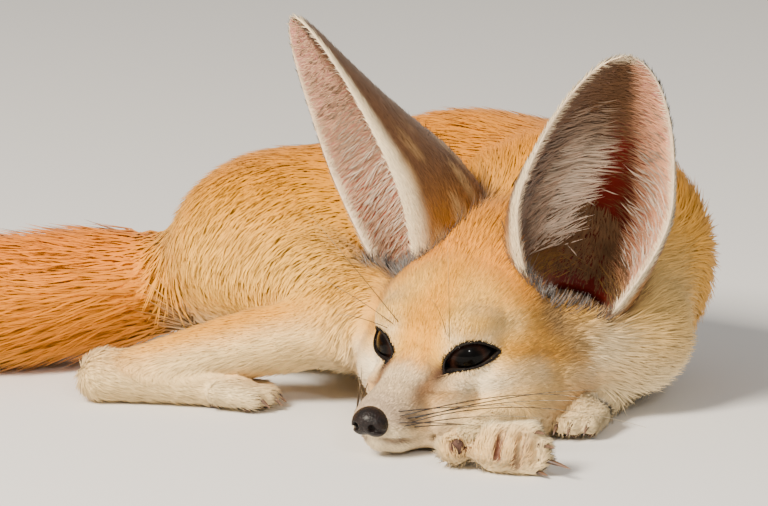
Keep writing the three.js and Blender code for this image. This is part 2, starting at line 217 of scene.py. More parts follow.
# Turns a field into quads, one vertex in each cell that the surface crosses. A block of grid points
# that lies far from the surface is only looked at in its middle.
def polygonize(field, axes, block=6, slack=7.0):
    counts = [len(a) for a in axes]
    groups = [np.arange(n) // block for n in counts]
    middles, halves = [], []
    for line, group in zip(axes, groups):
        lows = np.array([line[group == g].min() for g in range(group[-1] + 1)])
        highs = np.array([line[group == g].max() for g in range(group[-1] + 1)])
        middles.append((lows + highs) / 2)
        halves.append((highs - lows) / 2)
    centres = np.stack(np.meshgrid(*middles, indexing="ij"), -1).reshape(-1, 3)
    reach = np.sqrt((np.stack(np.meshgrid(*halves, indexing="ij"), -1) ** 2).sum(-1)).ravel()
    rough = field(centres)
    shape = [len(m) for m in middles]
    close = (np.abs(rough) < reach + slack).reshape(shape)[np.ix_(*groups)]
    value = rough.reshape(shape)[np.ix_(*groups)].copy()
    spots = np.argwhere(close)
    points = np.stack([axes[i][spots[:, i]] for i in range(3)], -1)
    values = np.concatenate([field(part) for part in np.array_split(points, max(1, len(points) // 150000))])
    value[close] = values
    inside = value < 0
    cells = np.array(counts) - 1
    total, hits, walls = np.zeros((int(cells.prod()), 3)), np.zeros(int(cells.prod())), []
    for axis in range(3):
        low = [slice(None)] * 3
        high = [slice(None)] * 3
        low[axis], high[axis] = slice(0, -1), slice(1, None)
        edge = np.argwhere(inside[tuple(low)] != inside[tuple(high)])
        far = edge.copy()
        far[:, axis] += 1
        a, b = value[tuple(edge.T)], value[tuple(far.T)]
        point = np.stack([axes[i][edge[:, i]] for i in range(3)], -1)
        step = axes[axis][far[:, axis]] - axes[axis][edge[:, axis]]
        point[:, axis] += step * a / (a - b)
        side, over = (axis + 1) % 3, (axis + 2) % 3
        ring = []
        for ds, do in ((-1, -1), (0, -1), (0, 0), (-1, 0)):
            cell = edge.copy()
            cell[:, side] += ds
            cell[:, over] += do
            ring.append(cell)
        kept = np.all([(cell >= 0).all(1) & (cell < cells).all(1) for cell in ring], axis=0)
        ids = np.stack([np.ravel_multi_index(cell[kept].T, cells) for cell in ring], -1)
        for column in ids.T:
            hits += np.bincount(column, minlength=len(hits))
            for i in range(3):
                total[:, i] += np.bincount(column, point[kept][:, i], minlength=len(hits))
        ids[a[kept] > 0] = ids[a[kept] > 0][:, ::-1]
        walls.append(ids)
    used = np.flatnonzero(hits)
    number = np.full(len(hits), -1)
    number[used] = np.arange(len(used))
    return total[used] / hits[used, None], number[np.concatenate(walls)]


# Body, as in the part's own source: outlines reach the tips of the coat.
chestCentre, bellyCentre, rumpCentre = (70, -50, 46), (24, -16, 47), (-38, -12, 38)
torsoSpine = [chestCentre, (48, -30, 47), bellyCentre, (-10, -12, 43), rumpCentre]
torsoOutline = blend(
    16,
    ellipsoid(chestCentre, (47, 46, 46.5)), ellipsoid((48, -28, 46), (44, 42, 48)),
    ellipsoid(bellyCentre, (46, 42, 48)), ellipsoid((-12, -11, 42), (42, 40, 42)),
    ellipsoid(rumpCentre, (40, 40, 38.5)),
)
neckLine = [(38, -96, 36), (70, -60, 46), (78, -40, 46)]
neckOutline = blend(10, limb(neckLine[0], (58, -66, 46), 34, 43), ellipsoid((70, -90, 28), (35, 34, 29)))
legs = dict(
    rightHind=dict(hip=(-46, -26, 42), knee=(-10, -88, 31), hock=(-102, -80, 9), toes=(-50, -92, 6)),
    leftHind=dict(hip=(-40, 12, 38), knee=(-2, 42, 26), hock=(-78, 48, 9), toes=(-22, 62, 6)),
    rightFore=dict(elbow=(64, -100, 11.5), wrist=(21, -180, 6.4), toes=(43, -190, 8)),
    leftFore=dict(elbow=(84, -70, 11.5), wrist=(72, -112, 6.4), toes=(62, -134, 6)),
)
tailSpine = [(-64, -6, 31), (-128, -24, 26), (-196, -42, 25.4), (-258, -68, 22.8), (-296, -98, 16)]
tailRadii = (24, 26, 26, 23.4, 16.1)
tailOutline = blend(12, chain(tailSpine, tailRadii), ellipsoid((-304, -106, 14.5), (18, 18, 15)))
jawOutline = blend(
    4,
    limb((35, 0, -21.5), (2, 0, -23.5), 4.2, 8, headFrame),
    limb((2, 0, -23.5), (-20, 0, -20), 8, 13, headFrame),
)
skullOutline = blend(
    7,
    ellipsoid((-32, 0, 2), (32, 34, 27), headFrame),
    ellipsoid((-14, 0, 2), (22, 21, 15), headFrame),
    limb((8, 0, -10), (35, 0, -14.5), 12.6, 7.6, headFrame),
    *pair(lambda side: ellipsoid((-18, 19 * side, -11), (21, 17, 17), headFrame)),
    *pair(lambda side: ellipsoid((-35, 24 * side, -12), (20, 18, 20), headFrame)),
    *pair(lambda side: ellipsoid((5, 11 * side, -12), (13, 8.5, 8), headFrame)),
    *pair(lambda side: ellipsoid((-4, 14 * side, 9), (11, 9, 7), headFrame)),
    *pair(lambda side: ellipsoid((29, 5.5 * side, -17), (9, 6, 6), headFrame)),
    *pair(lambda side: ellipsoid((-50, 26 * side, 3), (22, 22, 21), headFrame)),
    ellipsoid((-46, 0, 12), (22, 26, 25), headFrame),
    ellipsoid((-20, 25, -20), (20, 15, 14), headFrame),
    ellipsoid((6, 17, -23), (19, 11, 8), headFrame),
    limb((29, 4, -22.5), (4, 9, -22.5), 4.5, 6.5, headFrame),
)


def eyeFrame(side):
    flip = np.array([1, side, 1])
    along = unit(place(eyeSpec["slitAlong"] * flip) - place((0, 0, 0)))
    out = place(eyeSpec["slitOut"] * flip) - place((0, 0, 0))
    out = unit(out - (out @ along) * along)
    up = np.cross(along, out) * side
    if up[2] < 0:
        up = -up
    return (place(eyeSpec["centre"] * flip), np.array([along, up, out]))


def between(start, end, t):
    return tuple(np.array(start, float) + (np.array(end, float) - start) * t)


toe = dict(reach=6, setBack=1.6, length=13, backSpread=0.21, frontSpread=0.26, radii=(4.6, 4.3))
toeSlots = (-1.5, -0.5, 0.5, 1.5)


def pawFrame(legEnd, toesEnd, lift=(0, 0, 1)):
    along = unit(np.array(toesEnd, float) - legEnd)
    across = unit(np.cross(lift, along))
    return (np.array(toesEnd, float), np.array([along, across, np.cross(along, across)]))


def pawOutline(at, length, spread, height):
    toes = []
    for slot in toeSlots:
        reach = toe["reach"] - toe["setBack"] * slot * slot
        back = (reach - toe["length"], slot * spread * toe["backSpread"], 0)
        toes.append(limb(back, (reach, slot * spread * toe["frontSpread"], -1), *toe["radii"], at))
    palm = ellipsoid((-length * 0.35, 0, 0), (length * 0.5, spread * 0.42, height * 0.5), at)
    return blend(2.2, palm, *toes)


paws = {}
for name, leg in legs.items():
    if "hock" in leg:
        root, spread, height, lift = between(leg["hock"], leg["toes"], 0.62), 20, 14, (0, 0, 1)
    else:
        root, spread, height, lift = leg["wrist"], 17, 15, (0, -1, 0)
    if name == "leftFore":
        spread, height, lift = 18, 14, (0, 0, 1)
    at = pawFrame(root, leg["toes"], lift)
    length = float(np.linalg.norm(np.array(leg["toes"]) - root))
    paws[name] = dict(at=at, spread=spread, outline=pawOutline(at, length, spread, height))


def thighOutline(leg):
    return blend(10, limb(leg["hip"], leg["knee"], 31, 18), ellipsoid(leg["hip"], (36, 33, 35)))


def shankOutline(leg):
    return chain((leg["knee"], between(leg["knee"], leg["hock"], 0.5), leg["hock"]), (15.5, 12.5, 7.6))


def hindFootOutline(leg):
    return chain([between(leg["hock"], leg["toes"], t) for t in (0, 0.4, 0.7)], (9.6, 7.8, 7.4))


def forelegOutline(leg):
    return chain([between(leg["elbow"], leg["wrist"], t) for t in (0, 0.5, 1)], (12, 8.6, 6.8))


# Ears: a leaf rolled about the line from its notch to its tip, in the head's frame. The roll opens
# from nearly a tube at the notch to a shallow trough at the tip.
earSpec = dict(
    notch=(-38, 35.3, 7.8), tip=(-22.2, 64, 105.4), turn=33.5, width=56.7, widest=0.37, baseWidth=45,
    tipBluntness=1.54, baseRoll=140, tipRoll=34.4, bow=-2.2, baseWall=4.2, rimWall=2.8,
    bottom=-0.1, end=0.997, backFur=1.2, innerFur=0.9, rows=84, columns=64, ridge=0.8,
)


def earPoint(side, t, across, depth):
    t, across, depth = (a[..., None] for a in np.broadcast_arrays(t, across, depth))
    notch, tip = (np.array(earSpec[k], float) * (1, side, 1) for k in ("notch", "tip"))
    along = unit(tip - notch)
    turn = math.radians(earSpec["turn"])
    openWay = np.array([math.cos(turn), math.sin(turn) * side, 0])
    openWay = unit(openWay - (openWay @ along) * along)
    outward = -np.cross(along, openWay)
    widest = earSpec["widest"]
    below, above = (widest - t) / widest, np.maximum(t - widest, 0) / (1 - widest)
    width = np.where(
        t < widest, earSpec["width"] - (earSpec["width"] - earSpec["baseWidth"]) * below ** 2,
        earSpec["width"] * np.sqrt(np.maximum(1 - above ** earSpec["tipBluntness"], 0)),
    )
    roll = np.radians(earSpec["baseRoll"] + (earSpec["tipRoll"] - earSpec["baseRoll"]) * t)
    radius = np.where(roll < math.pi / 2, width / 2 / np.sin(np.minimum(roll, math.pi / 2)), width / 2)
    middle = notch + (tip - notch) * t + openWay * earSpec["bow"] * np.sin(math.pi * t)
    angle, r = across * roll, radius - depth
    return place(middle + openWay * (radius * np.cos(roll) - r * np.cos(angle)) + outward * r * np.sin(angle))


# How deep the coat is over each part, how long its hair is, and how it lies: millimetres and degrees.
coatSpec = dict(
    torso=dict(depth=5.0, reach=15, girth=0.8, lift=9),
    neck=dict(depth=5.0, reach=14, girth=0.7, lift=11),
    Thigh=dict(depth=4.0, reach=10, girth=0.7, lift=9),
    Shank=dict(depth=2.2, reach=7.0, girth=0.5, lift=10),
    Foot=dict(depth=1.4, reach=4.6, girth=0.5, lift=13),
    Leg=dict(depth=1.8, reach=5.5, girth=0.48, lift=12),
    Paw=dict(depth=1.2, reach=3.6, girth=0.42, lift=16),
    tail=dict(depth=9.0, reach=24, girth=1.0, lift=15),
)


# On the head the coat deepens from the nose to the ruff, and lies thicker over the brows.
def headDepth(p):
    q = inHead(p)
    f = q[:, 0]
    brow = np.exp(-(((f - 1) / 8) ** 2 + ((np.abs(q[:, 1]) - 15) / 7) ** 2 + ((q[:, 2] - 11) / 5) ** 2))
    return 0.7 + 0.8 * ramp(-f, -14, 6) + 2.6 * ramp(-f, 8, 48) + 0.7 * brow


# A lid's height at its middle, leaning to one corner. The corners are at -1 and 1.
def lidHeight(along, upper):
    height = np.where(upper, eyeSpec["upperLid"], eyeSpec["lowerLid"])
    return height * (1 - np.where(upper, eyeSpec["upperSkew"], eyeSpec["lowerSkew"]) * np.clip(along, -1, 1))


# How far outside an eye's slit a point lies, seen from the front, and the way from the slit there.
def aroundSlit(p, side):
    at, half = eyeFrame(side), eyeSpec["halfWidth"]
    a, b, c = ((p - at[0]) @ at[1].T).T
    a = a - eyeSpec["slitMiddle"][0]
    b = b - eyeSpec["slitMiddle"][1] - eyeSpec["slitTilt"] * a
    lid = lidHeight(a / half, b > 0)
    away = (a * a / half ** 2 + np.abs(b) / lid - 1) * lid / np.sqrt(1 + (2 * a * lid / half ** 2) ** 2)
    way = unit(np.stack([a / half ** 2, b / (0.5 * half) ** 2, 0 * a], 1)) @ at[1]
    return away, way, c


# The lids are skin drawn over the eyeball and cut through by the slit. The lips part along a groove.
lidMounds = pair(lambda side: ellipsoid((0, 0, 0), eyeSpec["mound"], eyeFrame(side)))


def slit(side):
    def field(p):
        away, way, c = aroundSlit(p, side)
        return np.maximum(away + 0.25, 1.5 - c)
    return field


slits = pair(slit)
lipLine = [
    (39.5, 3.2, -19.6), (35.0, 8.2, -20.6), (29.0, 11.6, -21.8), (22.0, 14.6, -22.4), (14.0, 17.6, -21.4),
]
lips = pair(lambda side: chain([(f, l * side, u) for f, l, u in lipLine], [1.0] * len(lipLine), headFrame))
closedHead = blend(2.5, inset(blend(3, skullOutline, jawOutline), headDepth), *lidMounds)
headField = hollowed(hollowed(closedHead, 0.8, *slits), 1.2, *lips)

parts = {"head": headField}
parts["neck"] = inset(neckOutline, coatSpec["neck"]["depth"])
parts["torso"] = inset(torsoOutline, coatSpec["torso"]["depth"])
for name in ("rightHind", "leftHind"):
    parts[name + "Thigh"] = inset(thighOutline(legs[name]), coatSpec["Thigh"]["depth"])
    parts[name + "Shank"] = inset(shankOutline(legs[name]), coatSpec["Shank"]["depth"])
    parts[name + "Foot"] = inset(hindFootOutline(legs[name]), coatSpec["Foot"]["depth"])
    parts[name + "Paw"] = inset(paws[name]["outline"], coatSpec["Paw"]["depth"])
for name in ("rightFore", "leftFore"):
    parts[name + "Leg"] = inset(forelegOutline(legs[name]), coatSpec["Leg"]["depth"])
    parts[name + "Paw"] = inset(paws[name]["outline"], coatSpec["Paw"]["depth"])

# Pads: one under the palm and one under each toe. On the right forepaw only the one at the wrist shows.
padSpec = dict(
    palm=(-11.0, -1.6), palmRadii=(3.6, 3.0, 1.5), toeBack=4.6, toeRadii=(2.2, 1.7, 1.2), wrist=(-21.8, 2.0),
    wristRadii=(2.4, 2.6, 1.6),
)

# The right forepaw shows its palm, with furrows between the toes: each is drawn over the palm in the
# paw's own frame, and has a width.
palmFurrows = [
    ((-19.4, 2.6), (-14.6, 6.4), 2.0), ((-6.2, 6.4), (-7.2, -0.6), 1.3),
    ((0.4, 5.6), (-1.6, -3.6), 1.35), ((5.2, 3.6), (4.8, -2.8), 1.7),
]
palm = paws["rightFore"]["at"]
palmSkin = blend(3, parts["rightForeLeg"], parts["rightForePaw"])
furrows = []
for start, end, width in palmFurrows:
    sunk = heightOver(palmSkin, palm, [start[0], end[0]], [start[1], end[1]]) - 0.3
    furrows.append(((*start, sunk[0]), (*end, sunk[1]), width))
for name in ("rightForeLeg", "rightForePaw"):
    parts[name] = hollowed(parts[name], 0.8, *[limb(a, b, width, width, palm) for a, b, width in furrows])
parts["tail"] = inset(tailOutline, coatSpec["tail"]["depth"])
partNames = list(parts)


# The hollow of each ear is kept clear of the head and neck behind its mouth: balls that touch the
# lining run up it, and a plane just outside its edges closes them off.
hollowSpec = dict(low=-0.03, high=0.62, balls=10, depth=1.7, outside=2.5)


def earHollow(side):
    balls = []
    for t in np.linspace(hollowSpec["low"], hollowSpec["high"], hollowSpec["balls"]):
        back, left, right = (earPoint(side, t, a, hollowSpec["depth"]) for a in (0.0, -0.5, 0.5))
        across, away = (left + right) / 2 - back, np.linalg.norm(left - right) / 2
        sag = np.linalg.norm(across)
        radius = (sag * sag + away * away) / (2 * sag)
        balls.append((back + unit(across) * radius, radius))
    tube = joined(*[limb(a[0], b[0], a[1], b[1]) for a, b in zip(balls[:-1], balls[1:])])
    edges = [earPoint(side, t, a, 0.0) for t, a in ((0.1, 1.0), (0.1, -1.0), (0.6, 1.0))]
    normal = unit(np.cross(edges[1] - edges[0], edges[2] - edges[0]))
    normal = normal if normal @ (balls[3][0] - edges[0]) < 0 else -normal
    return lambda p: np.maximum(tube(p), (p - edges[0]) @ normal - hollowSpec["outside"])


# How softly each part runs into those before it, and how far the skin stays above the floor.
softness = dict(neck=10, torso=14, tail=12, Thigh=14, Shank=8, Foot=5, Leg=6, Paw=3)
floorGap = 0.8
earHollows = pair(earHollow)


def skinField(p):
    distance = headField(p)
    for name, field in list(parts.items())[1:]:
        soft = next(s for end, s in softness.items() if name.endswith(end))
        distance = softMin(distance, field(p), soft)
    for hollow in earHollows:
        distance = -softMin(-distance, hollow(p), 2.0)
    return -softMin(-distance, p[:, 2] - floorGap, 1.5)


report("shapes set")

# The grid's step is fine round the head, in the stretch that each line's last two numbers give.
skinGrid = dict(fine=1.15, coarse=2.7, lines=((-318, 116, -34, 70), (-200, 76, -200, -92), (-2, 98, 0, 66)))
gridLines = [gridLine(*line, skinGrid["fine"], skinGrid["coarse"]) for line in skinGrid["lines"]]
bodyPoints, bodyFaces = polygonize(skinField, gridLines)
bodyPoints = settle(skinField, bodyPoints)
bodyUp = unit(slopeOf(skinField, bodyPoints))
report(f"skin of {len(bodyFaces)} faces")


# Rows climb the ear, and each is a ring: across its back, round the rim and back across its hollow.
def earMesh(side):
    rows, columns = earSpec["rows"], earSpec["columns"]
    climb = np.arange(rows) / (rows - 1)
    t = earSpec["bottom"] + (earSpec["end"] - earSpec["bottom"]) * (1 - (1 - climb) ** 1.8)
    spread = np.sin(np.linspace(-1, 1, columns) * math.pi / 2) * 0.35 + np.linspace(-1, 1, columns) * 0.65
    t, across = np.meshgrid(t, spread, indexing="ij")
    wall = earSpec["baseWall"] + (earSpec["rimWall"] - earSpec["baseWall"]) * np.clip(t, 0, 1)
    thick = (wall - earSpec["backFur"] - earSpec["innerFur"]) / 2
    middle = earSpec["backFur"] + thick
    rim = np.sqrt(np.clip(1 - (np.maximum(np.abs(across) - 0.94, 0) / 0.06) ** 2, 0, 1))
    crown = np.sqrt(np.clip(1 - (np.maximum(t - 0.97, 0) / (earSpec["end"] - 0.97)) ** 2, 0, 1))
    half = thick * (0.12 + 0.88 * rim * crown)
    folds = sum(np.exp(-(((across - at) + 0.12 * t) / 0.07) ** 2) for at in (-0.42, -0.14, 0.2, 0.5))
    folds = folds * ramp(t, -0.05, 0.1) * (1 - ramp(t, 0.35, 0.75)) * earSpec["ridge"]
    back = earPoint(side, t, across, middle - half)
    hollow = earPoint(side, t, across, middle + half + folds)
    points = np.concatenate([back, hollow[:, ::-1]], 1)
    loop = 2 * columns
    index = np.arange(rows * loop).reshape(rows, loop)
    following = np.roll(index, -1, 1)
    faces = [np.stack([index[:-1], following[:-1], following[1:], index[1:]], -1).reshape(-1, 4)]
    for row, flip in ((0, -1), (rows - 1, 1)):
        a, b = index[row, :columns - 1], index[row, 1:columns]
        c, d = index[row, ::-1][:columns - 1], index[row, ::-1][1:columns]
        cap = np.stack([a, b, d, c], -1)
        faces.append(cap[:, ::flip])
    places = [np.concatenate([a, a[:, ::-1]], 1).ravel() for a in (t, across)]
    inner = np.concatenate([np.zeros_like(t), np.ones_like(t)], 1).ravel()
    return points.reshape(-1, 3), np.concatenate(faces), places[0], places[1], inner


def vertexNormals(points, faces):
    a, b, c, d = (points[faces[:, i]] for i in range(4))
    normal = np.cross(c - a, d - b)
    total = np.zeros_like(points)
    for i in range(4):
        for k in range(3):
            total[:, k] += np.bincount(faces[:, i], normal[:, k], minlength=len(points))
    return unit(total)


# Colours are sRGB hex, turned to the linear values that shaders use.
def colour(code):
    value = np.array([int(code[i:i + 2], 16) for i in (0, 2, 4)]) / 255
    return np.where(value <= 0.04045, value / 12.92, ((value + 0.055) / 1.055) ** 2.4)


def paint(base, code, weight):
    return base + (colour(code) - base) * np.clip(weight, 0, 1)[:, None]


def nearLine(p, start, end, width):
    start, end = np.array(start, float), np.array(end, float)
    along = end - start
    t = np.clip((p - start) @ along / max(along @ along, 1e-9), 0, 1)
    q = p - start - t[:, None] * along
    return np.exp(-(q * q).sum(1) / (2 * width * width))


def flowAlong(points, line):
    line = np.array(line, float)
    total = np.zeros_like(points)
    for a, b in zip(line[:-1], line[1:]):
        t = np.clip((points - a) @ (b - a) / ((b - a) @ (b - a)), 0, 1)
        away = points - a - t[:, None] * (b - a)
        total += unit(b - a) / ((away * away).sum(1) + 25)[:, None] ** 2
    return unit(total)


# The head's hair: its length by region, and its width, which grows with its length.
headCoat = dict(
    noseTip=(46, 0, -14), muzzle=2.2, face=4.2, crown=8.5, cheek=9.5, girth=0.27, girthGrowth=0.03,
)

# Dark streaks run back from the whiskers' roots, and a grey band goes down from each ear's notch.
whiskerStreaks = [
    ((35.0, 9.2, -12.6), (22.0, 14.0, -11.5)), ((33.6, 10.4, -14.4), (19.0, 16.0, -14.0)),
    ((32.0, 11.2, -16.4), (18.0, 17.5, -16.6)),
]
earBand = [(-25.5, 27.5, 14.0), (-26.5, 32.5, 6.5), (-29.5, 37.5, -1.0)]


# The looks of a region: the coat's lie, length, width, lift, colour, share of dark tips and
# thickness at each point of the skin, and the bare skin's colour. Here f, l and u are a point's
# places forward, left and up in the head's frame, and both sides are painted alike.
def headLooks(p, up):
    q = inHead(p)
    f, l, u = q.T
    s = np.abs(l)
    q = np.stack([f, s, u], 1)
    top = up @ headFrame[1][2]
    crown = ramp(-f, 8, 44) * ramp(top, 0.0, 0.6)
    cheek = ramp(-f, 2, 34) * (1 - ramp(top, 0.0, 0.5))
    muzzle = ramp(f, 8, 24)
    reach = headCoat["face"] + (headCoat["muzzle"] - headCoat["face"]) * muzzle
    reach = reach + (headCoat["crown"] - reach) * crown
    reach = reach + (headCoat["cheek"] - reach) * cheek
    girth = headCoat["girth"] + headCoat["girthGrowth"] * reach
    lift = 9 + 12 * crown + 7 * cheek - 2 * muzzle
    lie = unit(q - np.array(headCoat["noseTip"]) * [1, 0, 1])
    lie = lie + np.stack([0 * f, 0 * f, -0.35 * cheek + 0.15 * crown], 1)
    lie[:, 1] *= np.sign(l)
    lie = lie @ headFrame[1]
    crowd, rim = np.ones(len(p)), np.zeros(len(p))
    for side in (1, -1):
        away, way, out = aroundSlit(p, side)
        away = np.where(out > 0, away, 99)
        near = 1 - ramp(away, 1.0, 7.0)
        lie = lie + 2.0 * near[:, None] * way
        reach = reach * (1 - 0.5 * near)
        crowd = crowd * ramp(away, 0.45, 1.0)
        rim = np.maximum(rim, 1 - ramp(away, 0.7, 1.6))
    mouth = np.clip(sum(nearLine(q, a, b, 0.8) for a, b in zip(lipLine[:-1], lipLine[1:])), 0, 1)
    crowd = crowd * (1 - 0.8 * mouth)
    upper, side = ramp(top, 0.15, 0.7), 1 - ramp(top, 0.0, 0.6)
    # Cream below, sandy above, rufous between the ears.
    tint = np.tile(colour("f8e6c6"), (len(p), 1))
    sandy = np.maximum(ramp(top, -0.1, 0.45), 0.9 * ramp(u, 3, 10)) * (1 - ramp(f, 8, 22))
    tint = paint(tint, "e9bd78", sandy)
    tint = paint(tint, "cc9c60", 0.55 * nearLine(q, (-14, 27, 9), (-26, 35, 5), 6.0))
    tint = paint(tint, "e2913a", 0.95 * ramp(-f, 8, 28) * upper * (1 - 0.7 * ramp(s, 24, 36)))
    # The pale patch behind each eye is painted light, laid over the crease between brow and skull to lift its
    # shade.
    tint = paint(tint, "f4d6a0", 0.7 * nearLine(q, (-7, 22, 11), (-12, 25, 9), 3.2))
    tint = paint(tint, "e0a050", 0.75 * nearLine(q, (-16, 0, 22), (14, 3.5, 2), 4.5))
    tint = paint(tint, "f0d9ae", 0.35 * nearLine(q, (5, 12, 7), (-2, 15, 13), 2.5))
    # Greyer towards the nose, with the tear mark and the streaks of the whisker bed.
    tint = paint(tint, "dcc5a6", ramp(f, 14, 26) * ramp(top, -0.2, 0.6))
    tint = paint(tint, "b5a392", 0.7 * ramp(f, 27, 38) * ramp(top, -0.35, 0.5))
    tint = paint(tint, "dda35a", 0.6 * nearLine(q, (10, 15.0, -7), (21, 12, -11), 2.6))
    tint = paint(tint, "5f3c25", 0.95 * nearLine(q, (12.0, 10.8, -2.8), (22, 10.0, -7), 2.5))
    tint = paint(tint, "8c6544", 0.6 * nearLine(q, (18, 10.2, -5.5), (27, 8.8, -9.5), 1.8))
    for start, end in whiskerStreaks:
        tint = paint(tint, "5a4537", 0.75 * nearLine(q, start, end, 0.75))
    # A pale cheek under the eye and a tan line behind it. The lower cheek and the underside of the jaw are a
    # darker warm brown, partly the coat's own tan and partly painted shade under the head.
    tint = paint(tint, "fff0d4", 0.9 * nearLine(q, (9, 16.5, -8.5), (-14, 30, -9), 4.0))
    tint = paint(tint, "b5803f", 0.75 * nearLine(q, (-7, 26.5, 2), (-30, 38, -6), 2.4))
    tint = paint(tint, "b98a50", 0.85 * ramp(-f, -4, 26) * ramp(-u, 6, 16) * side)
    tint = paint(tint, "b0834c", 0.7 * ramp(-u, 14, 22) * (1 - ramp(f, 12, 30)))
    for start, end in zip(earBand[:-1], earBand[1:]):
        tint = paint(tint, "65523f", 0.75 * nearLine(q, start, end, 3.8))
    tint = paint(tint, "4a2d20", 0.9 * nearLine(q, (9.5, 10.6, -3.0), (13.0, 10.8, -4.4), 1.2))
    spotted = np.sin(2.9 * f + u) * np.sin(2.3 * u) > 0.55
    whiskerBed = np.exp(-(((f - 34) / 6) ** 2 + ((u + 14) / 4.5) ** 2)) * ramp(s, 3, 6)
    tint = paint(tint, "4b3c36", 0.75 * whiskerBed * spotted)
    tint = paint(tint, "4a352c", 0.9 * mouth)
    bare = paint(tint * 0.9, "120b09", rim)
    ticked = 0.12 + 0.1 * crown + 0.12 * nearLine(q, (4, 17, 11), (-24, 30, 12), 9.0) + 0.2 * ramp(f, 14, 30)
    return dict(
        lie=lie, reach=reach, girth=girth, lift=lift, tint=tint, ticked=ticked, crowd=crowd, bare=bare,
    )


# What kind of part a name stands for, and the line that runs along it.
def partKind(name):
    return next((end for end in ("Thigh", "Shank", "Foot", "Leg", "Paw") if name.endswith(end)), name)


def partLine(name):
    if name in ("neck", "torso", "tail"):
        return dict(neck=neckLine, torso=torsoSpine, tail=tailSpine)[name]
    stops = next(list(leg.values()) for start, leg in legs.items() if name.startswith(start))
    first = dict(Thigh=0, Shank=1, Foot=2, Leg=0, Paw=len(stops) - 2)[partKind(name)]
    return stops[first:first + 2]


# The body's hair runs along each part and down its sides, and back over the tops of the thighs. Its
# back is rufous, its belly cream, its legs pale, and its tail ends in a dark tip.
bodyTints = dict(
    neck="e2c08a", torso="e6b068", tail="d98f40", Thigh="e9b972", Shank="f3d8a8", Foot="f1dab0",
    Leg="f0dab2", Paw="f1ddb8",
)


def bodyLooks(p, up, share):
    z = p[:, 2]
    total = dict(lie=0, reach=0, girth=0, lift=0, tint=0)
    for name, weight in zip(partNames[1:], share):
        kind = partKind(name)
        bulky = kind in ("torso", "neck", "Thigh")
        lie = flowAlong(p, partLine(name))
        tint = np.tile(colour(bodyTints[kind]), (len(p), 1))
        if bulky:
            lie = lie + np.array([0, 0, -0.3]) * (1 - np.abs(up[:, 2:]))
            tint = paint(tint, "cb8636", 0.9 * ramp(z, 44, 84))
            tint = paint(tint, "f8e6c4", 1 - ramp(z, 8, 34))
        if kind == "Thigh":
            lie = lie + 2.2 * ramp(z, 26, 56)[:, None] * unit((-0.85, -0.2, -0.35))
        if kind == "Shank":
            tint = paint(tint, "db9a48", 0.9 * ramp(up[:, 2], 0.05, 0.9))
        if kind == "tail":
            tint = paint(tint, "cf7c30", 0.6 * ramp(up[:, 2], 0.1, 0.9))
            tint = paint(tint, "ecb878", 0.7 * (1 - ramp(z, 4, 18)))
            tint = paint(tint, "33241c", ramp(-p[:, 0], 284, 298))
        for key in ("reach", "girth", "lift"):
            total[key] = total[key] + weight * coatSpec[kind][key]
        total["lie"] = total["lie"] + weight[:, None] * lie
        total["tint"] = total["tint"] + weight[:, None] * tint
    total["ticked"] = 0.05 + 0.05 * ramp(z, 50, 90)
    total["crowd"] = 0.15 + 0.85 * ramp(z + 6 * up[:, 2], -3, 3)
    total["bare"] = total["tint"] * 0.92
    # The upturned palm: brown furrows, with fluff combed up between them.
    inPaw = (p - palm[0]) @ palm[1].T
    pads = sum(nearLine(inPaw, a, b, width) for a, b, width in furrows)
    pads = pads + nearLine(inPaw, (*padSpec["wrist"], 4), (*padSpec["wrist"], 8), 2.2)
    pads = np.clip(pads * ramp(inPaw[:, 2], 0.5, 3), 0, 1)
    fluff = ramp(inPaw[:, 2], 0.0, 3.0) * nearLine(inPaw, (-22, 2, 5), (6, 2, 5), 7.0)
    total["crowd"] = total["crowd"] * (1 - ramp(pads, 0.2, 0.5))
    total["lie"] = total["lie"] + 2.2 * fluff[:, None] * palm[1][1]
    total["lift"] = total["lift"] + 12 * fluff
    total["bare"] = paint(total["bare"], "5a3426", 1.6 * pads)
    total["tint"] = paint(paint(total["tint"], "e6c492", 0.8 * fluff), "a87858", 0.8 * pads)
    return total


# Each point of the skin takes its looks from the parts near it, and the head's give way at the nape.
partAway = np.stack([field(bodyPoints) for field in parts.values()])
share = np.exp(-(partAway - partAway.min(0)) / 3.5)
share[0] *= 1 - ramp(-inHead(bodyPoints)[:, 0], 46, 62)
share = share / share.sum(0)
onHead = headLooks(bodyPoints, bodyUp)
onBody = bodyLooks(bodyPoints, bodyUp, share[1:] / np.maximum(share[1:].sum(0), 1e-6))
looks = {"up": bodyUp}
for key in onHead:
    weight = share[0] if onHead[key].ndim == 1 else share[0][:, None]
    looks[key] = onHead[key] * weight + onBody[key] * (1 - weight)

# Where the head's skin closes the bottom of an ear's hollow, it looks as the hollow does.
for side, hollow in zip((1, -1), earHollows):
    inHollow = 1 - ramp(hollow(bodyPoints), 0.6, 1.6)
    notch, tip = (place(np.array(earSpec[key]) * (1, side, 1)) for key in ("notch", "tip"))
    climb = unit(tip - notch)
    looks["crowd"] = looks["crowd"] * (1 - 0.5 * inHollow)
    looks["bare"] = paint(looks["bare"], "8a4a3e", inHollow)
    looks["tint"] = paint(looks["tint"], "745a45", 1.2 * inHollow)
    looks["reach"] = looks["reach"] + (9.0 - looks["reach"]) * inHollow
    looks["lift"] = looks["lift"] + (26.0 - looks["lift"]) * inHollow
    looks["lie"] = looks["lie"] + 3 * climb * inHollow[:, None]
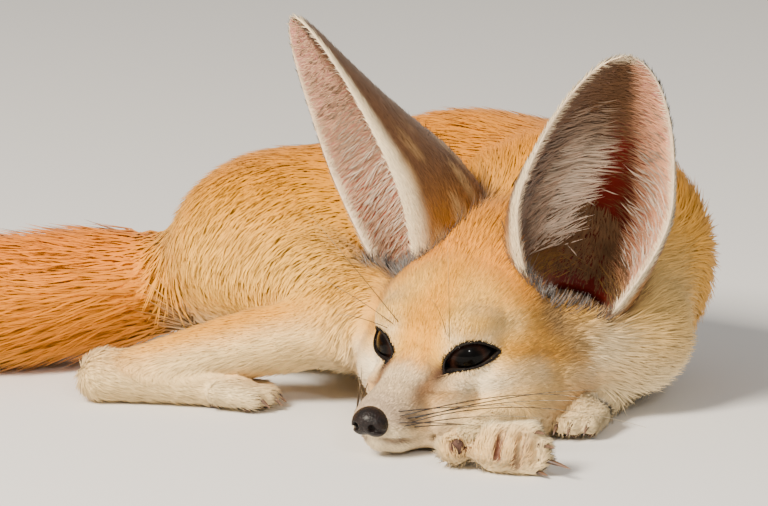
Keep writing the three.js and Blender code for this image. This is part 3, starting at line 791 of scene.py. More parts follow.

# Hair and skin of each hollow's outer wall. The right ear's wall is painted paler than the left's: painted
# light, as if shining through that ear.
wallColoursWithPaintedLight = dict(left=("d9a488", "de978a"), right=("f0cbb0", "f0b8a8"))
earParts = {}
for name, side in (("left", 1), ("right", -1)):
    points, faces, t, across, inner = earMesh(side)
    climb = unit(earPoint(side, t + 0.004, across, 1.5) - earPoint(side, t - 0.004, across, 1.5))
    sideways = unit(earPoint(side, t, across + 0.01, 1.5) - earPoint(side, t, across - 0.01, 1.5))
    edge = np.maximum(ramp(np.abs(across), 0.92, 0.99), ramp(t, 0.95, 0.99))
    inward = -np.sign(across)[:, None] * sideways
    lie = np.where(inner[:, None] > 0.5, inward + 0.55 * climb, climb - 0.25 * inward)
    lateral = -across * side
    # The back: brown, warmer and streaked near the head, with a pale edge.
    tint = np.tile(colour("5c4230"), (len(points), 1))
    tint = paint(tint, "a87440", 0.85 * (1 - ramp(t, 0.04, 0.42)))
    streaks = ramp(np.sin(31 * across + 9 * t) + np.sin(17 * t - 8 * across), 0.3, 1.4)
    tint = paint(tint, "c2a27a", 0.6 * streaks * (1 - ramp(t, 0.3, 0.6)))
    tint = paint(tint, "f7e6c8", np.maximum(edge, ramp(-lateral, 0.82, 0.95)))
    # The hollow's hair: brown next to the crown, pale on the outer wall and at the edge.
    hollowTint = np.tile(colour("6d4f39"), (len(points), 1))
    hollowTint = paint(hollowTint, wallColoursWithPaintedLight[name][0], ramp(lateral, 0.3, 0.6))
    hollowTint = paint(hollowTint, "5e432f", 0.85 * ramp(t, 0.45, 0.85) * (1 - ramp(lateral, 0.1, 0.5)))
    hollowTint = paint(hollowTint, "a58358", 1 - ramp(t, -0.04, 0.04))
    hollowTint = paint(hollowTint, "efdcc0", edge)
    tint = np.where(inner[:, None] > 0.5, hollowTint, tint)
    # The hollow's skin: pink on the outer wall, and deep red-brown where it is nearly bare in the middle,
    # darkened there by painted shade in the hollow's depth.
    bare = np.tile(colour("8d6c5e"), (len(points), 1))
    bare = paint(bare, wallColoursWithPaintedLight[name][1], ramp(lateral, 0.35, 0.6))
    bare = paint(bare, "c89a95", 0.6 * ramp(t, 0.4, 0.9) * ramp(lateral, 0.3, 0.6))
    # The nearly bare middle: its dark red-brown is partly the skin's own colour and partly painted shade.
    bareShadedMiddle = np.exp(-((lateral - 0.17) / 0.33) ** 4) * (1 - ramp(t, 0.5, 0.82))
    bare = paint(bare, "5e1a10", 1.15 * bareShadedMiddle)
    vein = nearLine(np.stack([lateral, 2 * t], 1), (0.72, 0.1), (0.8, 0.5), 0.12)
    bare = paint(bare, "c8564a", 0.75 * vein)
    bare = paint(bare, "f0dcc4", ramp(np.abs(across), 0.93, 0.97))
    bare = np.where(inner[:, None] > 0.5, bare, tint * 0.8)
    crowd = (1 - 0.95 * bareShadedMiddle) * (1 - 0.35 * ramp(lateral, 0.35, 0.55) * (1 - edge))
    crowd = np.where(inner > 0.5, crowd, 1.0) * ramp(t, -0.08, 0.0)
    reach = (4.1 + 1.5 * (1 - ramp(t, 0.0, 0.3))) * (1 - 0.4 * edge)
    lift = np.where(inner > 0.5, 20.0, 11.0) + 6 * edge
    earParts[name] = dict(
        points=points, faces=faces, inner=inner, t=t, lateral=lateral,
        looks=dict(
            lie=lie, reach=reach, girth=np.full(len(t), 0.38), lift=lift, tint=tint,
            ticked=np.full(len(t), 0.08), crowd=crowd, bare=bare, up=vertexNormals(points, faces),
        ),
    )
report("looks worked out")


# Puts a mesh in the scene, from points in model millimetres.
def makeMesh(name, points, faces, material=None):
    mesh = bpy.data.meshes.new(name)
    groups = [np.asarray(group) for group in (faces if isinstance(faces, list) else [faces])]
    sizes = np.concatenate([np.full(len(group), group.shape[1]) for group in groups])
    corners = np.concatenate([group.ravel() for group in groups])
    mesh.vertices.add(len(points))
    mesh.vertices.foreach_set("co", toFrame(points).astype(np.float32).ravel())
    mesh.loops.add(len(corners))
    mesh.loops.foreach_set("vertex_index", corners.astype(np.int32))
    mesh.polygons.add(len(sizes))
    mesh.polygons.foreach_set("loop_start", (np.cumsum(sizes) - sizes).astype(np.int32))
    mesh.update(calc_edges=True)
    mesh.polygons.foreach_set("use_smooth", np.ones(len(mesh.polygons), bool))
    piece = bpy.data.objects.new(name, mesh)
    bpy.context.scene.collection.objects.link(piece)
    if material:
        mesh.materials.append(material)
    return piece


def setAttribute(mesh, name, values, kind="FLOAT", domain="POINT"):
    slots = dict(FLOAT="value", INT="value", FLOAT_VECTOR="vector", FLOAT_COLOR="color")
    values = np.asarray(values, np.int32 if kind == "INT" else np.float32)
    if kind == "FLOAT_COLOR":
        values = np.concatenate([values, np.ones((len(values), 1), np.float32)], 1)
    mesh.attributes.new(name, kind, domain).data.foreach_set(slots[kind], values.ravel())


# Adds a node to a tree, sets its settings, and links or sets its inputs.
def addNode(tree, kind, inputs={}, **settings):
    node = tree.nodes.new(kind)
    for key, value in settings.items():
        setattr(node, key, value)
    for key, value in inputs.items():
        if isinstance(value, bpy.types.NodeSocket):
            tree.links.new(value, node.inputs[key])
        else:
            node.inputs[key].default_value = value
    return node


# A material, its node tree, and the coordinates of its object in metres.
def newMaterial(name):
    material = bpy.data.materials.new(name)
    material.use_nodes = True
    tree = material.node_tree
    tree.nodes.clear()
    return material, tree, addNode(tree, "ShaderNodeTexCoord").outputs["Object"]


def finishMaterial(material, shader):
    addNode(material.node_tree, "ShaderNodeOutputMaterial", {"Surface": shader.outputs["BSDF"]})
    return material


# Fur: keratin hairs, satin along their length. Root to tip each tuft goes from the dull underfur to
# the bright end, and some tufts end in a dark tip.
def furMaterial(name, rootShade=0.93, tipShade=1.05):
    material, tree, where = newMaterial(name)
    tint, along, shade, ticked = (addNode(tree, "ShaderNodeAttribute", attribute_name=key)
                                  for key in ("tint", "along", "shade", "ticked"))
    patches = addNode(tree, "ShaderNodeTexNoise", {"Vector": where, "Scale": 160.0, "Detail": 2.0})
    value = addNode(tree, "ShaderNodeMapRange", {
        "Value": along.outputs["Fac"], "From Max": 0.75, "To Min": rootShade, "To Max": tipShade,
    })
    each = addNode(tree, "ShaderNodeMapRange", {"Value": shade.outputs["Fac"], "To Min": 0.89, "To Max": 1.1})
    patch = addNode(tree, "ShaderNodeMapRange", {
        "Value": patches.outputs["Fac"], "From Min": 0.3, "From Max": 0.7, "To Min": 0.9, "To Max": 1.1,
    })
    rest = addNode(tree, "ShaderNodeMath", {0: 1.0, 1: ticked.outputs["Fac"]}, operation="SUBTRACT")
    dark = addNode(tree, "ShaderNodeMath", {0: shade.outputs["Fac"], 1: rest.outputs[0]},
                   operation="GREATER_THAN")
    tipPart = addNode(tree, "ShaderNodeMapRange", {
        "Value": along.outputs["Fac"], "From Min": 0.3, "From Max": 0.9,
    })
    dark = addNode(tree, "ShaderNodeMath", {0: dark.outputs[0], 1: tipPart.outputs[0]}, operation="MULTIPLY")
    dark = addNode(tree, "ShaderNodeMapRange", {"Value": dark.outputs[0], "To Min": 1.0, "To Max": 0.5})
    light = value
    for factor in (each, patch, dark):
        light = addNode(tree, "ShaderNodeMath", {0: light.outputs[0], 1: factor.outputs[0]},
                        operation="MULTIPLY")
    hair = addNode(tree, "ShaderNodeVectorMath", {0: tint.outputs["Color"], "Scale": light.outputs[0]},
                   operation="SCALE")
    shader = addNode(tree, "ShaderNodeBsdfPrincipled", {
        "Base Color": hair.outputs[0], "Roughness": 0.66, "IOR": 1.55, "Specular IOR Level": 0.2,
        "Sheen Weight": 0.14, "Sheen Roughness": 0.5,
    })
    return finishMaterial(material, shader)


# Skin under the coat: matt and finely creased, the colour of the underfur; bare and pink in the ears.
def skinMaterial():
    material, tree, where = newMaterial("skin under the coat")
    bare = addNode(tree, "ShaderNodeAttribute", attribute_name="bare")
    creases = addNode(tree, "ShaderNodeTexNoise", {"Vector": where, "Scale": 1400.0, "Detail": 4.0})
    bump = addNode(tree, "ShaderNodeBump", {
        "Height": creases.outputs["Fac"], "Strength": 0.5, "Distance": 0.0004,
    })
    shader = addNode(tree, "ShaderNodeBsdfPrincipled", {
        "Base Color": bare.outputs["Color"], "Roughness": 0.55, "IOR": 1.4, "Normal": bump.outputs["Normal"],
    })
    return finishMaterial(material, shader)


# Eye: a wet cornea over a black pupil and a dark brown iris, with a darker ring where the white would be.
def eyeMaterial():
    material, tree, where = newMaterial("wet dark eye")
    away = addNode(tree, "ShaderNodeAttribute", attribute_name="fromPupil")
    fibres = addNode(tree, "ShaderNodeTexNoise", {"Vector": where, "Scale": 1100.0, "Detail": 3.0})
    frayed = addNode(tree, "ShaderNodeMapRange", {
        "Value": fibres.outputs["Fac"], "To Min": -0.6, "To Max": 0.6,
    })
    away = addNode(tree, "ShaderNodeMath", {0: away.outputs["Fac"], 1: frayed.outputs[0]}, operation="ADD")
    eyeReach = 12.0
    reach = addNode(tree, "ShaderNodeMapRange", {"Value": away.outputs[0], "From Max": eyeReach})
    rings = addNode(tree, "ShaderNodeValToRGB", {"Fac": reach.outputs[0]})
    stops = (
        (0, "020101"), (eyeSpec["pupil"] - 0.2, "020101"), (eyeSpec["pupil"] + 0.6, "0f0704"),
        (5.6, "26140d"), (eyeSpec["iris"] - 0.6, "150a06"), (eyeSpec["iris"] + 0.2, "060303"),
        (eyeReach, "080404"),
    )
    for position, code in stops[1:-1]:
        rings.color_ramp.elements.new(position / eyeReach)
    for stop, (position, code) in zip(rings.color_ramp.elements, stops):
        stop.color = (*colour(code), 1)
    shader = addNode(tree, "ShaderNodeBsdfPrincipled", {
        "Base Color": rings.outputs["Color"], "Roughness": 0.35, "IOR": 1.35, "Specular IOR Level": 0.08,
        "Coat Weight": 0.28, "Coat Roughness": 0.04, "Coat IOR": 1.36,
    })
    return finishMaterial(material, shader)


# Nose and pads: hairless skin, moist and pebbled on the nose, dry and cracked on the pads.
def leatherMaterial(name, code, deepCode, roughness, wet):
    material, tree, where = newMaterial(name)
    pebbles = addNode(tree, "ShaderNodeTexVoronoi", {"Vector": where, "Scale": 1300.0})
    grain = addNode(tree, "ShaderNodeTexNoise", {"Vector": where, "Scale": 500.0, "Detail": 4.0})
    shade = addNode(tree, "ShaderNodeMapRange", {
        "Value": grain.outputs["Fac"], "From Min": 0.35, "From Max": 0.65,
    })
    tint = addNode(tree, "ShaderNodeMix", {"Factor": shade.outputs[0]}, data_type="RGBA")
    tint.inputs[6].default_value = (*colour(deepCode), 1)
    tint.inputs[7].default_value = (*colour(code), 1)
    bump = addNode(tree, "ShaderNodeBump", {
        "Height": pebbles.outputs["Distance"], "Strength": 0.6, "Distance": 0.0004,
    })
    shader = addNode(tree, "ShaderNodeBsdfPrincipled", {
        "Base Color": tint.outputs[2], "Roughness": roughness, "IOR": 1.45, "Specular IOR Level": 0.25,
        "Normal": bump.outputs["Normal"], "Coat Weight": wet, "Coat Roughness": 0.3,
    })
    return finishMaterial(material, shader)


# Claw and whisker: horn, glossy along its length, dark at the root and paler to the tip.
def hornMaterial(name, rootCode, tipCode, roughness):
    material, tree, where = newMaterial(name)
    along = addNode(tree, "ShaderNodeAttribute", attribute_name="along")
    streaks = addNode(tree, "ShaderNodeTexNoise", {"Vector": where, "Scale": 900.0, "Detail": 3.0})
    mixed = addNode(tree, "ShaderNodeMath", {0: streaks.outputs["Fac"], 1: -0.5}, operation="ADD")
    mixed = addNode(tree, "ShaderNodeMath", {0: mixed.outputs[0], 1: along.outputs["Fac"]}, operation="ADD")
    part = addNode(tree, "ShaderNodeMapRange", {"Value": mixed.outputs[0], "From Min": 0.35, "From Max": 1.0})
    tint = addNode(tree, "ShaderNodeMix", {"Factor": part.outputs[0]}, data_type="RGBA")
    tint.inputs[6].default_value = (*colour(rootCode), 1)
    tint.inputs[7].default_value = (*colour(tipCode), 1)
    shader = addNode(tree, "ShaderNodeBsdfPrincipled", {
        "Base Color": tint.outputs[2], "Roughness": roughness, "IOR": 1.54,
    })
    return finishMaterial(material, shader)


materials = dict(
    fur=furMaterial("fur"),
    earHair=furMaterial("long hair in the ears", 0.42, 1.2),
    skin=skinMaterial(),
    eye=eyeMaterial(),
    nose=leatherMaterial("moist nose leather", "1c1211", "0b0707", 0.5, 0.2),
    lid=leatherMaterial("dark lid edge", "120b09", "080505", 0.6, 0.0),
    pads=leatherMaterial("dry pad leather", "5b4238", "32221c", 0.7, 0.0),
    claw=hornMaterial("claw horn", "33241d", "7c5c48", 0.35),
    whisker=hornMaterial("whisker", "1c110c", "d9c19a", 0.4),
)

# The skin: the body's and the ears' surfaces in one piece. Its colours, and so the coat's, are made
# more vivid by this factor.
vividness = 1.28
allPoints, allFaces = [bodyPoints], [bodyFaces]
count = len(bodyPoints)
for ear in earParts.values():
    allPoints.append(ear["points"])
    allFaces.append(ear["faces"] + count)
    count += len(ear["points"])
skinPoints, skinFaces = np.concatenate(allPoints), np.concatenate(allFaces)
allLooks = [looks] + [ear["looks"] for ear in earParts.values()]
skinLooks = {key: np.concatenate([some[key] for some in allLooks]) for key in looks}
up = skinLooks["up"]
lie = skinLooks["lie"] - (skinLooks["lie"] * up).sum(1, keepdims=True) * up
skinLooks["lie"] = unit(lie + 1e-4 * np.array([1.0, 0.3, 0.2]))
for key in ("tint", "bare"):
    grey = skinLooks[key] @ np.array([0.21, 0.72, 0.07])
    skinLooks[key] = np.clip(grey[:, None] + vividness * (skinLooks[key] - grey[:, None]), 0, 1)
skin = makeMesh("skin", skinPoints, skinFaces, materials["skin"])
setAttribute(skin.data, "bare", skinLooks["bare"], "FLOAT_COLOR")
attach(skin, "root")
kept = ("claw", "eye", "nose")
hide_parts(*[n for n in frame["nodes"] if not any(word in n for word in kept)])
report(f"skin mesh of {len(skinFaces)} faces")


# Closes rings of points into a skin, with a point at each end.
def ringSkin(rings, start, end):
    count, around = rings.shape[:2]
    index = np.arange(count * around).reshape(count, around)
    turned = np.roll(index, -1, 1)
    walls = np.stack([index[:-1], turned[:-1], turned[1:], index[1:]], -1).reshape(-1, 4)
    first = np.stack([turned[0], index[0], np.full(around, count * around)], -1)
    last = np.stack([index[-1], turned[-1], np.full(around, count * around + 1)], -1)
    points = np.concatenate([rings.reshape(-1, 3), [start, end]])
    return faceOut(points, [walls, np.concatenate([first, last])])


# A closed skin's faces are turned over together where they point inwards.
def faceOut(points, groups):
    q = points - points.mean(0)
    volume = sum((q[g[:, 0]] * np.cross(q[g[:, 1]], q[g[:, 2]])).sum() for g in groups)
    return points, groups if volume > 0 else [g[:, ::-1] for g in groups]


# Joins closed skins of the same face sizes into one.
def gather(skins):
    points, groups, count = [], [[] for g in skins[0][1]], 0
    for somePoints, someGroups in skins:
        points.append(somePoints)
        for kept, group in zip(groups, someGroups):
            kept.append(group + count)
        count += len(somePoints)
    return np.concatenate(points), [np.concatenate(kept) for kept in groups]


# A tapered, curved tube through points, its section widened and thinned along two axes.
def taperedTube(line, radii, sides, flat=1.0, upward=(0, 0, 1)):
    line, turn = np.asarray(line, float), np.linspace(0, 2 * math.pi, sides, endpoint=False)
    ways = unit(np.gradient(line, axis=0))
    across = unit(np.cross(upward, ways))
    over = np.cross(ways, across)
    rings = line[:, None] + np.asarray(radii)[:, None, None] * (
        across[:, None] * np.cos(turn)[:, None] * flat + over[:, None] * np.sin(turn)[:, None])
    return ringSkin(rings, line[0] - ways[0] * radii[0] * 0.5, line[-1] + ways[-1] * radii[-1])


# Eyes: each ball is turned to its gaze and swells at the cornea.
gaze = unit(eyeSpec["gaze"])
level = unit(np.cross((0, 1, 0), gaze))
rise = np.cross(gaze, level)
angles = math.pi * np.linspace(1, 0, 46)[1:-1, None] ** 1.3
turn = np.linspace(0, 2 * math.pi, 56, endpoint=False)[None]
around = np.cos(turn)[..., None] * level + np.sin(turn)[..., None] * rise
ball = np.cos(angles)[..., None] * gaze + np.sin(angles)[..., None] * around
ways = [ball, -gaze[None, None], gaze[None, None]]
ends = [np.full((1, 1), math.pi), np.zeros((1, 1))]
for name, side in (("left", 1), ("right", -1)):
    at = eyeFrame(side)
    balls = []
    for way, angle in zip(ways, [angles] + ends):
        bulge = eyeSpec["cornea"] * np.clip(1 - (angle / eyeSpec["corneaAngle"]) ** 2, 0, 1) ** 2
        size = 1 / np.sqrt(((way / np.array(eyeSpec["ball"])) ** 2).sum(-1, keepdims=True))
        balls.append(place((way * (size + bulge[..., None])).reshape(-1, 3), at).reshape(way.shape))
    points, faces = ringSkin(balls[0], balls[1][0, 0], balls[2][0, 0])
    eyeball = makeMesh(f"eyeball_{name}", points, faces, materials["eye"])
    fromPupil = np.concatenate([(angles + 0 * turn).ravel(), [math.pi, 0]]) * eyeSpec["ball"][2]
    setAttribute(eyeball.data, "fromPupil", fromPupil)
    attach(eyeball, "root")
    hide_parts(f"eye_{name}")

# Lid rims: dark bare edges along both slits, pinched at the corners.
rims = []
turn = np.linspace(0, 2 * math.pi, 72, endpoint=False)
section = np.linspace(0, 2 * math.pi, 10, endpoint=False)
for side in (1, -1):
    at = eyeFrame(side)
    a = eyeSpec["halfWidth"] * np.cos(turn)
    b = lidHeight(np.cos(turn), np.sin(turn) > 0) * np.sign(np.sin(turn)) * np.abs(np.sin(turn)) ** 1.9
    a, b = a + eyeSpec["slitMiddle"][0], b + eyeSpec["slitTilt"] * a + eyeSpec["slitMiddle"][1]
    line = np.stack([a, b, heightOver(closedHead, at, a, b) + eyeSpec["rimRise"]], 1)
    ways = unit(np.roll(line, -1, 0) - np.roll(line, 1, 0))
    outward = unit(np.cross(ways, (0, 0, 1)))
    raised = np.cross(outward, ways)
    width = eyeSpec["rimWidth"] * (0.75 + 0.25 * np.abs(np.sin(turn)))
    rings = line[:, None] + width[:, None, None] * outward[:, None] * np.cos(section)[:, None]
    rings = rings + eyeSpec["rimThick"] * raised[:, None] * np.sin(section)[:, None]
    index = np.arange(rings.shape[0] * rings.shape[1]).reshape(rings.shape[:2])
    right, ahead = np.roll(index, -1, 1), np.roll(index, -1, 0)
    faces = np.stack([index, right, np.roll(right, -1, 0), ahead], -1).reshape(-1, 4)
    rims.append(faceOut(place(rings.reshape(-1, 3), at), [faces]))
rimPoints, rimFaces = gather(rims)
lidRims = makeMesh("lid_rims", rimPoints, rimFaces, materials["lid"])
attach(lidRims, "root")

# Nose leather, with comma nostrils and the groove down to the lip.
noseSpec = dict(box=((36, 50), (-8, 8), (-22, -6)), step=0.4)
noseLeather = blend(
    2, ellipsoid((40.5, 0, -13.2), (5.5, 5.8, 4.6), headFrame),
    *pair(lambda side: ellipsoid((41, 3 * side, -15), (4, 3.2, 3.4), headFrame)),
)
nostrils = pair(lambda side: joined(
    ellipsoid((45.4, 3.0 * side, -14.6), (2.6, 1.25, 1.4), headFrame),
    limb((44.6, 4.2 * side, -15.4), (41.6, 6.4 * side, -16.2), 0.75, 0.4, headFrame),
))
noseGroove = limb((47.0, 0, -12.5), (45.0, 0, -19.5), 0.55, 0.7, headFrame)
noseField = hollowed(noseLeather, 0.5, *nostrils, noseGroove)
corners = place(np.stack(np.meshgrid(*noseSpec["box"], indexing="ij"), -1).reshape(-1, 3))
noseLines = [np.arange(a, b, noseSpec["step"]) for a, b in zip(corners.min(0), corners.max(0))]
nosePoints, noseFaces = polygonize(noseField, noseLines, slack=3.0)
nose = makeMesh("nose_leather", settle(noseField, nosePoints, longest=0.4), noseFaces, materials["nose"])
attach(nose, "root")
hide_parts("nose")

# Claws: hooked horn, deeper than wide, each leaving its toe at the slot it has in the paw. One of the
# right forepaw's is stretched out past its fur.
clawSpec = dict(
    reach=9.6, buried=3.5, rise=0.6, foreLength=3.4, hindLength=3.6, longLength=8.6, longSlot=-0.5,
    longDrop=2.2, hook=2.4, droop=1.2, radius=1.55, flat=0.68, splay=1.05, steps=9, sides=8,
)
clawSkins = []
step = np.linspace(0, 1, clawSpec["steps"])
for name, paw in paws.items():
    at = paw["at"]
    for slot in toeSlots:
        reach = clawSpec["reach"] - toe["setBack"] * slot * slot
        stretched = name == "rightFore" and slot == clawSpec["longSlot"]
        length = clawSpec["foreLength"] if "Fore" in name else clawSpec["hindLength"]
        length = clawSpec["longLength"] if stretched else length
        x = reach - clawSpec["buried"] + (length + clawSpec["buried"]) * step
        y = slot * paw["spread"] * toe["frontSpread"] * clawSpec["splay"]
        y = y - clawSpec["longDrop"] * stretched * step
        z = clawSpec["rise"] - clawSpec["hook"] * step ** 2.2 - clawSpec["droop"] * step
        z = -z if name == "rightFore" else z
        radii = clawSpec["radius"] * (1 - 0.93 * step ** 1.5)
        line = place(np.stack([x, y, z], 1), at)
        line[:, 2] = np.maximum(line[:, 2], radii + 0.5)
        clawSkins.append(taperedTube(line, radii, clawSpec["sides"], clawSpec["flat"], at[1][2]))
claws = makeMesh("claws", *gather(clawSkins), materials["claw"])
along = np.concatenate([np.repeat(step, clawSpec["sides"]), [0, 1]])
setAttribute(claws.data, "along", np.tile(along, len(clawSkins)))
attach(claws, "root")
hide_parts(*[n for n in frame["nodes"] if "claw" in n])

# Paw pads: leather domes, half sunk in the skin where padSpec has them.
padSkins = []
rise = np.linspace(-1, 1, 10)[1:-1, None] * math.pi / 2
turn = np.linspace(0, 2 * math.pi, 16, endpoint=False)
ball = np.stack([np.cos(rise) * np.cos(turn), np.cos(rise) * np.sin(turn), np.sin(rise) + 0 * turn], -1)
for name, paw in paws.items():
    turned = name == "rightFore"
    sign = 1 if turned else -1
    spots = [(*padSpec["palm"], padSpec["palmRadii"])]
    for slot in toeSlots:
        reach = clawSpec["reach"] - toe["setBack"] * slot * slot - padSpec["toeBack"]
        spots.append((reach, slot * paw["spread"] * toe["frontSpread"], padSpec["toeRadii"]))
    if turned:
        spots = [(*padSpec["wrist"], padSpec["wristRadii"])]
    for x, y, radii in spots:
        height = heightOver(palmSkin if turned else parts[name + "Paw"], paw["at"], [x], [y], sign)[0]
        middle = np.array([x, y, sign * height])
        rings = place((middle + ball * radii).reshape(-1, 3), paw["at"]).reshape(ball.shape)
        ends = [place(middle + np.array([0, 0, end * radii[2]]), paw["at"]) for end in (-1, 1)]
        points, faces = ringSkin(rings, *ends)
        points[:, 2] = np.maximum(points[:, 2], 0.4)
        padSkins.append((points, faces))
pads = makeMesh("paw_pads", *gather(padSkins), materials["pads"])
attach(pads, "root")

# Whiskers and brow hairs: each a root, a point it passes and its tip, in the head's frame.
whiskerSpec = dict(radius=0.21, browRadius=0.13, farPart=0.6, sides=5, steps=14)
cheekWhiskers = [
    ((35.6, 9.0, -12.2), (10.7, 42.0, -6.6), (-4.0, 64.0, -11.1)),
    ((33.9, 10.2, -13.5), (16.2, 38.0, -8.5), (4.4, 62.0, -7.8)),
    ((32.7, 11.0, -15.2), (10.8, 42.0, -11.1), (-20.2, 72.0, -22.5)),
    ((35.8, 10.0, -15.8), (20.8, 30.0, -13.3), (16.2, 52.0, -11.8)),
    ((31.3, 11.4, -17.2), (21.0, 27.0, -16.4), (13.6, 44.0, -16.7)),
    ((35.2, 8.0, -10.7), (24.0, 27.0, -9.2), (14.0, 48.0, -8.6)),
    ((38.0, 8.0, -14.2), (27.0, 27.0, -14.6), (18.0, 46.0, -17.0)),
    ((30.0, 11.6, -14.2), (4.0, 40.0, -9.0), (-22.0, 58.0, -12.0)),
]
browHairs = [
    ((7.2, 11.9, 7.4), (14.0, 15.5, 24.8), (21.0, 19.0, 46.7)),
    ((6.5, 10.4, 9.4), (15.0, 12.0, 20.0), (25.0, 14.0, 27.0)),
    ((5.6, -9.5, 11.0), (8.6, -26.0, 29.9), (11.0, -42.0, 46.8)),
    ((6.5, -11.0, 10.3), (7.6, -29.0, 19.0), (6.4, -48.0, 24.2)),
    ((7.0, -13.0, 8.6), (12.0, -22.0, 12.0), (14.0, -30.0, 12.0)),
]
farWhiskers = [
    ((f0, -l0, u0), (f1, -l1 / 2, u1), (f2, -l2 / 2, u2))
    for (f0, l0, u0), (f1, l1, u1), (f2, l2, u2) in cheekWhiskers
]

# The far cheek's whiskers stay closer to it, and only their first part is drawn.
hairs = [(hair, whiskerSpec["radius"], 1.0) for hair in cheekWhiskers]
hairs += [(hair, whiskerSpec["radius"], whiskerSpec["farPart"]) for hair in farWhiskers]
hairs += [(hair, whiskerSpec["browRadius"], 1.0) for hair in browHairs]
whiskerSkins = []
step = np.linspace(0, 1, whiskerSpec["steps"])
for (root, passed, tip), radius, drawn in hairs:
    root, passed, tip = (np.array(spot, float) for spot in (root, passed, tip))
    pull = 2 * passed - (root + tip) / 2
    root = root + unit(np.array([-4, 0, -12]) + [root[0], 0, 0] - root) * 0.8
    t = (step * drawn)[:, None]
    line = place((1 - t) ** 2 * root + 2 * t * (1 - t) * pull + t * t * tip)
    radii = radius * (1 - 0.8 * step ** 1.4)
    whiskerSkins.append(taperedTube(line, radii, whiskerSpec["sides"], upward=(0.1, 0.2, 1)))
whiskers = makeMesh("whiskers", *gather(whiskerSkins), materials["whisker"])
along = np.concatenate([np.repeat(step, whiskerSpec["sides"]), [0, 1]])
setAttribute(whiskers.data, "along", np.tile(along, len(hairs)) * 0.8)
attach(whiskers, "root")
report("eyes, nose, claws, pads and whiskers")


# A tuft lies along X and is one unit long and wide. A short one is a flat spike with three sides. A
# long one is a lock, pointed at both ends and widest a little way up, where it bows off the skin.
def tuftMesh(name, bow, thick, lean):
    if bow:
        points = [(0, 0, -0.03), (0.38, -0.5, bow), (0.38, 0.5, bow), (0.36, 0, bow + thick), (1, lean, 0)]
        faces = [(0, 2, 1), (0, 3, 2), (0, 1, 3), (4, 1, 2), (4, 2, 3), (4, 3, 1)]
    else:
        points = [(0, -0.5, -0.03), (0, 0.5, -0.03), (0.05, 0, thick), (1, lean, 0)]
        faces = [(0, 2, 1), (0, 1, 3), (1, 2, 3), (2, 0, 3)]
    mesh = bpy.data.meshes.new(name)
    mesh.from_pydata(points, [], faces)
    mesh.polygons.foreach_set("use_smooth", [True] * len(faces))
    setAttribute(mesh, "along", [x for x, y, z in points])
    setAttribute(mesh, "side", [min(max(y, -0.5), 0.5) for x, y, z in points])
    return bpy.data.objects.new(name, mesh)


def tuftSet(name, bow, thick):
    group = bpy.data.collections.new(name)
    for i, lean in enumerate((-0.7, -0.3, 0.1, 0.4, 0.8)):
        group.objects.link(tuftMesh(f"{name}_{i}", bow * (0.7 + 0.15 * i), thick, lean))
    return group


tufts = dict(short=tuftSet("short_tufts", 0.0, 0.045), long=tuftSet("long_tufts", 0.055, 0.02))


